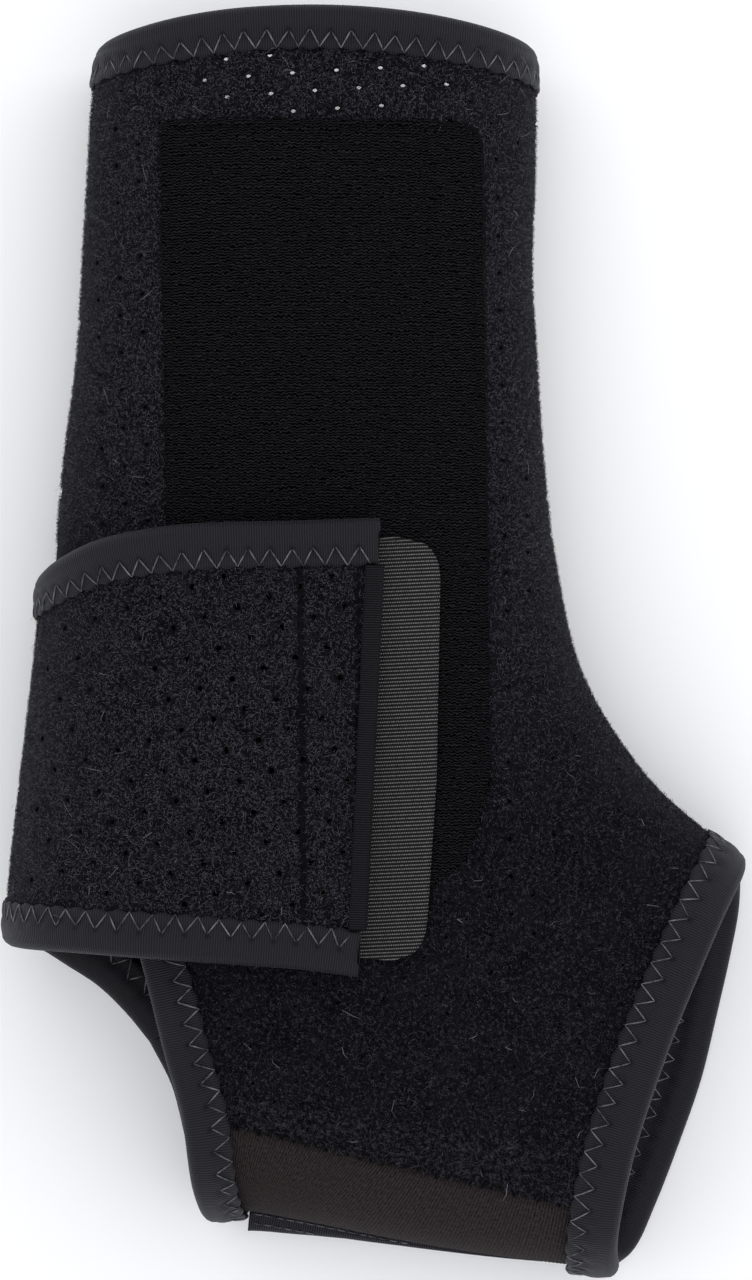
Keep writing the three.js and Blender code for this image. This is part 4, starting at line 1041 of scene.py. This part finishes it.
def laid_piece(name, table, row_count, column_count, under, over, relief, finish, slot, stands_for):
    """Top face with its relief, bottom face, and a border between them, all from one grid of rows."""
    line = rounded(table)
    low, high = line[:, 1].min(), line[:, 1].max()
    levels = high + (low - high) * np.linspace(0.0005, 0.9995, row_count + 1)
    left, right = span(line, levels)
    s = np.linspace(0, 1, column_count + 1)
    x = left[:, None] + (right - left)[:, None] * s
    y = np.broadcast_to(levels[:, None], x.shape).copy()
    to_edge = np.minimum.reduce([x - left[:, None], right[:, None] - x, high - y, y - low])
    few_rows, few_columns = np.linspace(0, row_count, 61), np.linspace(0, column_count, 25)
    coarse = np.ix_(few_rows.astype(int), few_columns.astype(int))
    top, n = (finer(part, coarse, x.shape) for part in layer_points(x[coarse], y[coarse], over))
    bottom = finer(layer_points(x[coarse], y[coarse], under)[0], coarse, x.shape)
    top = top + unit(n) * relief(x, y, to_edge)[..., None]
    uv = np.tile(np.stack([x.ravel(), -y.ravel()], 1), (2, 1))
    return place(make_mesh(name, *slab(top, bottom), uv), finish, slot, stands_for)


# %% [markdown]
# The knit's rows stand out as low ridges that sway a little, and the patch is thicker along its stitched
# edge, pressed down where the seam runs, 1.7 mm inside it. The hook tab has straight cords.

# %% Loop patch and hook tab
def sway_of(x, y):
    """A slow sum of sines that stands for the unevenness of the knit."""
    slow = 0.5 * np.sin(x / 7 + 1.3 * np.sin(y / 11)) + 0.35 * np.sin(x / 2.9 + y / 5)
    return slow + 0.2 * np.sin(x / 1.3 - y / 3.1)


def knit_relief(x, y, to_edge):
    ridges = 0.05 * np.sin(2 * np.pi * (y + 0.3 * sway_of(x, y)) / KNIT_ROW)
    seam_groove = -0.32 * np.exp(-((to_edge - 1.7) / 0.55) ** 2)
    return ridges + seam_groove + 0.22 * np.exp(-((to_edge - 0.7) / 0.5) ** 2) - 0.3 * np.exp(-to_edge / 0.25)


def cord_relief(x, y, to_edge):
    return 0.1 * np.sin(2 * np.pi * (y - CORD_SLOPE * x) / CORD) - 0.35 * np.exp(-to_edge / 0.35)


loop_piece = laid_piece("knit_patch", PATCH_OUTLINE, 540, 30, HALF + GAP, HALF + GAP + PATCH, knit_relief,
                        knit_finish, "loop_knit", ["loop_patch"])
hook_piece = laid_piece("hook_strip", TAB_OUTLINE, 590, 18, HOOK_LIFT, HOOK_LIFT + TAB, cord_relief,
                        hook_finish, "hook_weave", ["hook_tab"])

# %% [markdown]
# ## Elastic under the foot
#
# The elastic runs from the near side round the sole to the far side. It is its own shell, with fine ribs
# raised along its height. The hem strip below it is a folded strip that tapers towards the toes.


# %% Elastic and its hem
def elastic_shell():
    """Outer face at normal * (half + 0.05 sin(2 pi across / pitch)), inner face at the half thickness
    inside, on rows that run from the near seam round the sole fold to the far seam."""
    fine = 560
    ids = np.vstack([numbers["elastic_near"][::2], numbers["elastic_far"][-3::-2]])
    p, n = cloth[ids], outward[ids]
    run = run_of(p[0])
    new = np.linspace(0, run[-1], fine)
    j = np.clip(np.searchsorted(run, new, side="right") - 1, 0, len(run) - 2)
    v = ((new - run[j]) / (run[j + 1] - run[j]))[None, :, None]
    p, n = (q[:, j] * (1 - v) + q[:, j + 1] * v for q in (p, n))
    n = unit(n)
    ribs = 0.05 * np.sin(2 * np.pi * new / ELASTIC_RIB)[None, :, None]
    down = run_of(p[:, fine // 2])
    pull = np.zeros(p.shape)
    pull[0], pull[-1] = unit(p[1] - p[0]) * GAP / 2, unit(p[-2] - p[-1]) * GAP / 2
    outer, inner = p + n * (ELASTIC / 2 + ribs) + pull, p - n * ELASTIC / 2 + pull
    uv = np.tile(np.stack(np.meshgrid(new, down), -1).reshape(-1, 2), (2, 1))
    mesh = make_mesh("elastic_band", *slab(outer, inner), uv)
    return place(mesh, elastic_finish, "elastic", ["sole_insert"])


elastic_piece = elastic_shell()

HEM_TABLE = [(0.087, 0.96), (0.215, 0.74), (0.34, 0.5), (0.47, 0.34), (0.6, 0.24), (0.84, 0.08)]


def hem_strip():
    """A flat fold carried along the sole fold: section points from the fold out to a rounded lip."""
    share = np.linspace(0.087, 0.84, 120)
    reach = 4.6 * np.interp(share, *np.array(HEM_TABLE).T)
    foot, out = sole_fold.sideways(share)
    inner = ELASTIC / 2 + GAP
    a = np.linspace(-np.pi / 2, np.pi / 2, 9)
    half = np.minimum(1.05, reach / 2)
    lip_out = (inner + reach - half)[:, None] + half[:, None] * np.cos(a)
    lip_up = half[:, None] * np.sin(a)
    flat_low = np.linspace(0, 1, 6)[:-1]
    low_out = inner + (lip_out[:, :1] - inner) * flat_low
    crease = 0.12 * np.exp(-((low_out - inner - 0.8) / 0.4) ** 2)
    section_out = np.hstack([low_out, lip_out, low_out[:, ::-1]])
    section_up = np.hstack([-half[:, None] + crease, lip_up, half[:, None] - crease[:, ::-1]])
    points = np.concatenate([foot[:, None] + out[:, None] * section_out[..., None],
                             SOLE + section_up[..., None]], -1)
    count, size = points.shape[:2]
    four = np.roll(hoops(count, size), -1, 1)
    ends = [np.arange(size)[None], np.arange(size)[None, ::-1] + (count - 1) * size]
    uv = np.stack(np.meshgrid(share * sole_fold.length, run_of(points[0]), indexing="ij"), -1).reshape(-1, 2)
    mesh = make_mesh("hem_fold", points.reshape(-1, 3), [four, *ends], uv)
    # The hem wears the tape painted lighter against the shade under the elastic.
    return place(mesh, hem_lightened_finish, "tape", ["sole_hem"])


hem_piece = hem_strip()
for i, (reach, last_share) in enumerate(((1.7, 0.5), (3.6, 0.26))):
    foot, out = sole_fold.sideways(np.linspace(0.1, last_share, 80))
    a, b = along_line(foot + out * reach, 2.2, 1.8)
    level = np.full((len(a), 1), SOLE + 1.08)
    up = np.broadcast_to([0.0, 0.0, 1.0], (len(a), 3))
    mesh = stitches(f"hem_seam_{i}", np.hstack([a, level]), np.hstack([b, level]), up)
    place(mesh, thread_finish, "tape")

# %% [markdown]
# ## The free end of the strap
#
# A narrow tape closes the cut end of the strap between the two long tapes.


# %% End tape
def end_tape():
    """A U-shaped section over the strap's end, carried from one long tape to the other."""
    length = strap_end.length
    room = GAP + TAPE_WIDTH
    foot = strap_end.even(np.linspace(room, length - room, 70) / length)
    run = unit(strap_end.at(1.0) - strap_end.at(0.0))
    out = np.array([-run[1], run[0]])
    turn = np.linspace(0, np.pi, 9)[1:-1]
    lift = HALF + TAPE_REACH
    back = np.linspace(-END_TAPE_WIDTH, 0, 5)
    reach = np.r_[back, np.sin(turn) * TAPE_REACH, back[::-1], back, np.sin(turn) * GAP, back[::-1]]
    rise = np.r_[np.full(5, lift), np.cos(turn) * lift, np.full(5, -lift),
                 np.full(5, -HALF - GAP), -np.cos(turn) * (HALF + GAP), np.full(5, HALF + GAP)]
    puff = np.r_[0.0, 0.12, 0.2, 0.15, 0.05]
    rise[:5] += puff
    on = foot[:, None] + out * np.minimum(reach, 0)[:, None]
    z = strap_over_height(on[..., 0], on[..., 1])
    n = slope_normal(on[..., 0], on[..., 1], STRAP_OVER)
    points = np.concatenate([foot[:, None] + out * reach[:, None], z[..., None]], -1) + n * rise[:, None]
    (count, size), points = points.shape[:2], points.reshape(-1, 3)
    blocks = [facing_out(points, hoops(count, size)), *end_caps(count, size)]
    uv = np.stack(np.meshgrid(np.linspace(0, length, count), np.arange(size) * 0.6, indexing="ij"), -1)
    mesh = make_mesh("end_tape", points, blocks, uv.reshape(-1, 2))
    return place(mesh, dark_finish, "tape", ["strap_hem"])


end_piece = end_tape()

# %% [markdown]
# ## Seams
#
# A lockstitch holds the loop patch 1.7 mm inside its edge. Three rows of stitches, two of them side by
# side, cross the strap where the hook tab is sewn on. An overcast seam joins the foam to the elastic, and
# a flat seam of three close rows runs down the front fold.


# %% Seam stitches
STRAP_SEAMS = (-15.4, -14.6, -3.6)


def inset(line, depth):
    """Each place of a closed outline moved inwards by a depth: across the run of its neighbours."""
    run = unit(np.roll(line, -1, 0) - np.roll(line, 1, 0))
    return line + np.stack([run[:, 1], -run[:, 0]], 1) * depth


def flat_stitches(name, path, spacing, length, lift, side, closed=False):
    a, b = along_line(path, spacing, length, closed)
    a, n = layer_points(a[:, 0], a[:, 1], lift, side)
    b, _ = layer_points(b[:, 0], b[:, 1], lift, side)
    return place(stitches(name, a, b, n, 0.14, 0.2), dull_finish, "tape")


def seam_lean(y):
    """The strap's cross seams lean 0.6 mm over their 66 mm."""
    return 0.6 * (16 - y) / 66


dull = Finish("black_thread", 0.8, 0.05)
dull_finish = dull.wear((0.003, 0.003, 0.0035, 1))
patch_line = inset(rounded(PATCH_OUTLINE), 1.7)
seams = [flat_stitches("patch_seam", patch_line, 2.6, 2.1, HALF + GAP + PATCH - 0.3, NEAR, True)]
for i, x in enumerate(STRAP_SEAMS):
    y_run = np.linspace(16.5, -50.5, 60)
    path = np.stack([x + seam_lean(y_run), y_run], 1)
    seams.append(flat_stitches(f"strap_seam_{i}", path, 2.5, 2.0, HALF, STRAP_OVER))

join = near[-1, 4:-2]
join_run = run_of(join)
spot = read(join[:, :2], join_run, np.arange(1.0, join_run[-1] - 2, 2.3))
spot = spot + chance.normal(0, 0.15, spot.shape)
a, n = layer_points(spot[:, 0], spot[:, 1] + 0.7, HALF + 0.02)
b, _ = layer_points(spot[:, 0] + 0.9, spot[:, 1] - 1.5, ELASTIC / 2 + 0.12)
c, _ = layer_points(spot[:, 0] + 1.8, spot[:, 1] + 0.7, HALF + 0.02)
for name, first, last in (("overcast_seam", a, b), ("overcast_return", b, c)):
    seams.append(place(stitches(name, first, last, n, 0.22, 0.35), dull_finish, "tape"))

fold_at, fold_in = front_fold.sideways(np.linspace(0.03, 0.99, 260))
rows_of_thread = []
for level in (-1.1, 0.0, 1.1):
    plan = fold_at - fold_in * (HALF - 0.1 * abs(level))
    path = np.column_stack([plan, np.full(len(plan), FOLD + level), -fold_in])
    a, b = along_line(path, 1.9, 1.5)
    rows_of_thread.append((a[:, :3], b[:, :3], unit(np.column_stack([a[:, 3:5], np.zeros(len(a))]))))
starts, stops, away = (np.vstack(group) for group in zip(*rows_of_thread))
seams.append(place(stitches("front_seam", starts, stops, away, 0.2, 0.28), thread_finish, "tape"))
print("seams:", len(seams))

# %% [markdown]
# ## Pile
#
# The brushed face is covered in short curled fibres. Each is a narrow ribbon of two steps that leans over
# and tapers to a point, so that one fibre costs three triangles, and many thousands of them still render
# quickly. Roots are spread over the cells by their area, and left out over holes and under other pieces.


# %% Grow the pile
def grow(name, four, lift, density, room, keep, lean=(0.05, 0.5), length=(0.7, 1.5), width=0.1):
    """Ribbon from root r: r, r + l/2 (cos e t + sin e n), and a tip another l/2 further on with t turned
    in the cloth's plane, where e is the lean and t a random direction in the cloth."""
    c = cloth[four]
    area = np.linalg.norm(np.cross(c[:, 2] - c[:, 0], c[:, 3] - c[:, 1]), axis=1) / 2
    count = int(area.sum() * density)
    cell = chance.choice(len(four), count, p=area / area.sum())
    u, v = chance.random((2, count, 1))
    mix = lambda q: (q[:, 0] * (1 - u) + q[:, 3] * u) * (1 - v) + (q[:, 1] * (1 - u) + q[:, 2] * u) * v
    p, n = mix(cloth[four[cell]]), unit(mix(outward[four[cell]]))
    kept = keep(p[:, 0], p[:, 1], p[:, 2]) & (mix(room[four[cell]])[:, 0] > 0)
    p, n = p[kept], n[kept]
    count = len(p)
    turn = chance.uniform(0, 2 * np.pi, (count, 1))
    side = unit(np.cross(n, np.array([0.3, 1.0, 0.2])))
    ahead = np.cross(side, n)
    first = side * np.cos(turn) + ahead * np.sin(turn)
    bend = turn + chance.normal(0, 0.9, (count, 1))
    second = side * np.cos(bend) + ahead * np.sin(bend)
    size = chance.uniform(*length, (count, 1))
    rise = chance.uniform(*lean, (count, 1))
    root = p + n * (lift - 0.05)
    knee = root + size / 2 * (first * np.cos(rise) + n * (np.sin(rise) + 0.25))
    tip = knee + size / 2 * (second * np.cos(rise) + n * (np.sin(rise) - 0.35))
    twist = chance.normal(0, 0.7, (count, 1))
    flat = unit(np.cross(n, first)) * np.cos(twist) + n * np.sin(twist)
    w = width / 2 * chance.uniform(0.7, 1.3, (count, 1))
    points = np.stack([root - flat * w, root + flat * w, knee + flat * w, knee - flat * w, tip], 1)
    base = np.arange(count)[:, None] * 5
    return make_mesh(name, points.reshape(-1, 3), [base + np.arange(4), base + np.array([3, 2, 4])])


def under_patch(x, y, z):
    left, right = span(rounded(PATCH_OUTLINE), np.clip(y, -47, 106))
    return (y < 106.2) & (y > -47) & (x > left + 0.4) & (x < right - 0.4) & (z > 25)


def under_strap(x, y, z):
    return (y < upper_over.y_at(x) - 3) & (y > lower_over.y_at(x) + 3) & (x < -4)


def near_keep(x, y, z):
    return ((from_hole(LATTICE, x, y) > 0.72) | (y < 5)) & ~under_patch(x, y, z) & ~under_strap(x, y, z)


def brushed_keep(x, y, z):
    return near_keep(x, y, z) & (chance.random(len(y)) < ease(y, -50, 30))


def flat_keep(x, y, z):
    return near_keep(x, y, z) & (chance.random(len(y)) > ease(y, -50, 30))


def strap_keep(x, y, z):
    stitched = x - seam_lean(y)
    pressed = (np.abs(stitched + 15.0) < 0.75) | (np.abs(stitched - STRAP_SEAMS[-1]) < 0.5)
    return ((from_hole(STRAP_LATTICE, x, y) > 0.8) | (z < 22)) & ~pressed


TAPE_COVER = 5.5


def far_keep(x, y, z):
    """Fibres of the far side stop where the cloth lies on the floor."""
    return z > 3.5


def room_from(*edges):
    """Room at every point of the cloth: its distance from the nearest of the edges, less the tape's."""
    return np.minimum.reduce([apart(edge, *cloth[:, :2].T) for edge in edges])[:, None] - TAPE_COVER


near_room = room_from(near_rim, toe_near, heel_near)
strap_room = room_from(upper_over, lower_over)
far_room = room_from(far_rim, toe_far, heel_far, lower_under, upper_under)
near_rows = np.arange(len(cells["near"])) // COLUMNS
lint_finish = Finish("lint", 0.6, 0.3).wear((0.16, 0.16, 0.18, 1))
upper_cells = np.vstack([cells["near"], cells["strap_above"]])
under_cells = np.vstack([cells["wrap"], cells["far"], cells["strap_below"]])
fields = {
    "shaft_pile": (brushed_glint_finish, cells["near"], HALF, 6.6, near_room, brushed_keep, (0.05, 0.8)),
    "foot_pile": (fibre_glint_finish, cells["near"], HALF, 6.6, near_room, flat_keep),
    "strap_pile": (brushed_glint_finish, cells["strap_above"], HALF, 7.0, strap_room, strap_keep, (0.05, 0.7)),
    "seam_pile": (fibre_glint_finish, cells["near"][near_rows >= len(near) - 6], HALF, 5.0, near_room,
                  lambda x, y, z: z > 5, (-0.1, 0.3), (1.4, 2.6)),
    "side_pile": (brushed_glint_finish, under_cells, HALF, 3.5, far_room, far_keep, (0.05, 1.1)),
    "lining_pile": (fibre_glint_finish, cells["far"][:, ::-1], -HALF, 0.8, far_room, lambda x, y, z: z > -1),
    "lint_hairs": (lint_finish, upper_cells, HALF + 0.25, 0.007, np.ones((len(cloth), 1)),
                   lambda x, y, z: ~under_patch(x, y, z) & (z > 16), (0.05, 0.5), (2, 5), 0.07),
}
pile = {name: place(grow(name, *field), finish, "foam", smooth=False)
        for name, (finish, *field) in fields.items()}

# %% [markdown]
# ## Stage, lights and camera
#
# The photograph is taken from straight above, over a white sheet. The floor is pale and plain, the world
# gives even light, and two wide soft lamps shape the bulge.

# %% Floor and lights
floor_mesh = bpy.data.meshes.new("floor")
floor_mesh.from_pydata([(-3, -3, 0), (3, -3, 0), (3, 3, 0), (-3, 3, 0)], [], [(0, 1, 2, 3)])
floor = add_to_scene(bpy.data.objects.new("floor", floor_mesh))
floor.location.z = -0.0006
floor_mesh.materials.append(Finish("pale_paper", 0.9, 0.1).wear((0.96, 0.96, 0.965, 1)))

world = bpy.data.worlds.new("studio")
bpy.context.scene.world = world
world.use_nodes = True
daylight = world.node_tree.nodes["Background"].inputs
daylight["Color"].default_value, daylight["Strength"].default_value = (0.97, 0.98, 1, 1), 1.16


def soft_lamp(name, place_at, size, energy):
    lamp = bpy.data.lights.new(name, "AREA")
    lamp.shape, lamp.size, lamp.energy = "DISK", size, energy
    item = add_to_scene(bpy.data.objects.new(name, lamp))
    item.location = place_at
    target = np.array([0, 0, 0.02]) - np.array(place_at)
    item.rotation_euler = np.arccos(-target[2] / np.linalg.norm(target)), 0, np.arctan2(target[0], -target[1])


soft_lamp("key_lamp", (0.75, 0.55, 1.0), 0.7, 13)
soft_lamp("fill_lamp", (-0.9, -0.3, 0.9), 0.9, 6)
bpy.context.scene.view_settings.view_transform = "Standard"

# %% [markdown]
# ## Camera
#
# It looks straight down from 0.8 m. Its field is set by the photograph's scale, 0.2054 mm a pixel over
# 1280 rows, at the height of the brace's middle.

# %% Camera
SENSOR, MIDDLE_DISTANCE, PHOTO_ROWS, MM_A_PIXEL = 36, 780, 1280, 0.2054
camera = bpy.data.cameras.new("camera")
camera.sensor_fit, camera.sensor_width, camera.sensor_height = "VERTICAL", SENSOR, SENSOR
camera.lens = SENSOR * MIDDLE_DISTANCE / (PHOTO_ROWS * MM_A_PIXEL)
camera.clip_start = 0.01
eye = add_to_scene(bpy.data.objects.new("camera", camera))
eye.location = (0, 0.0026, 0.8)
bpy.context.scene.camera = eye
print(f"lens {camera.lens:.1f} mm")
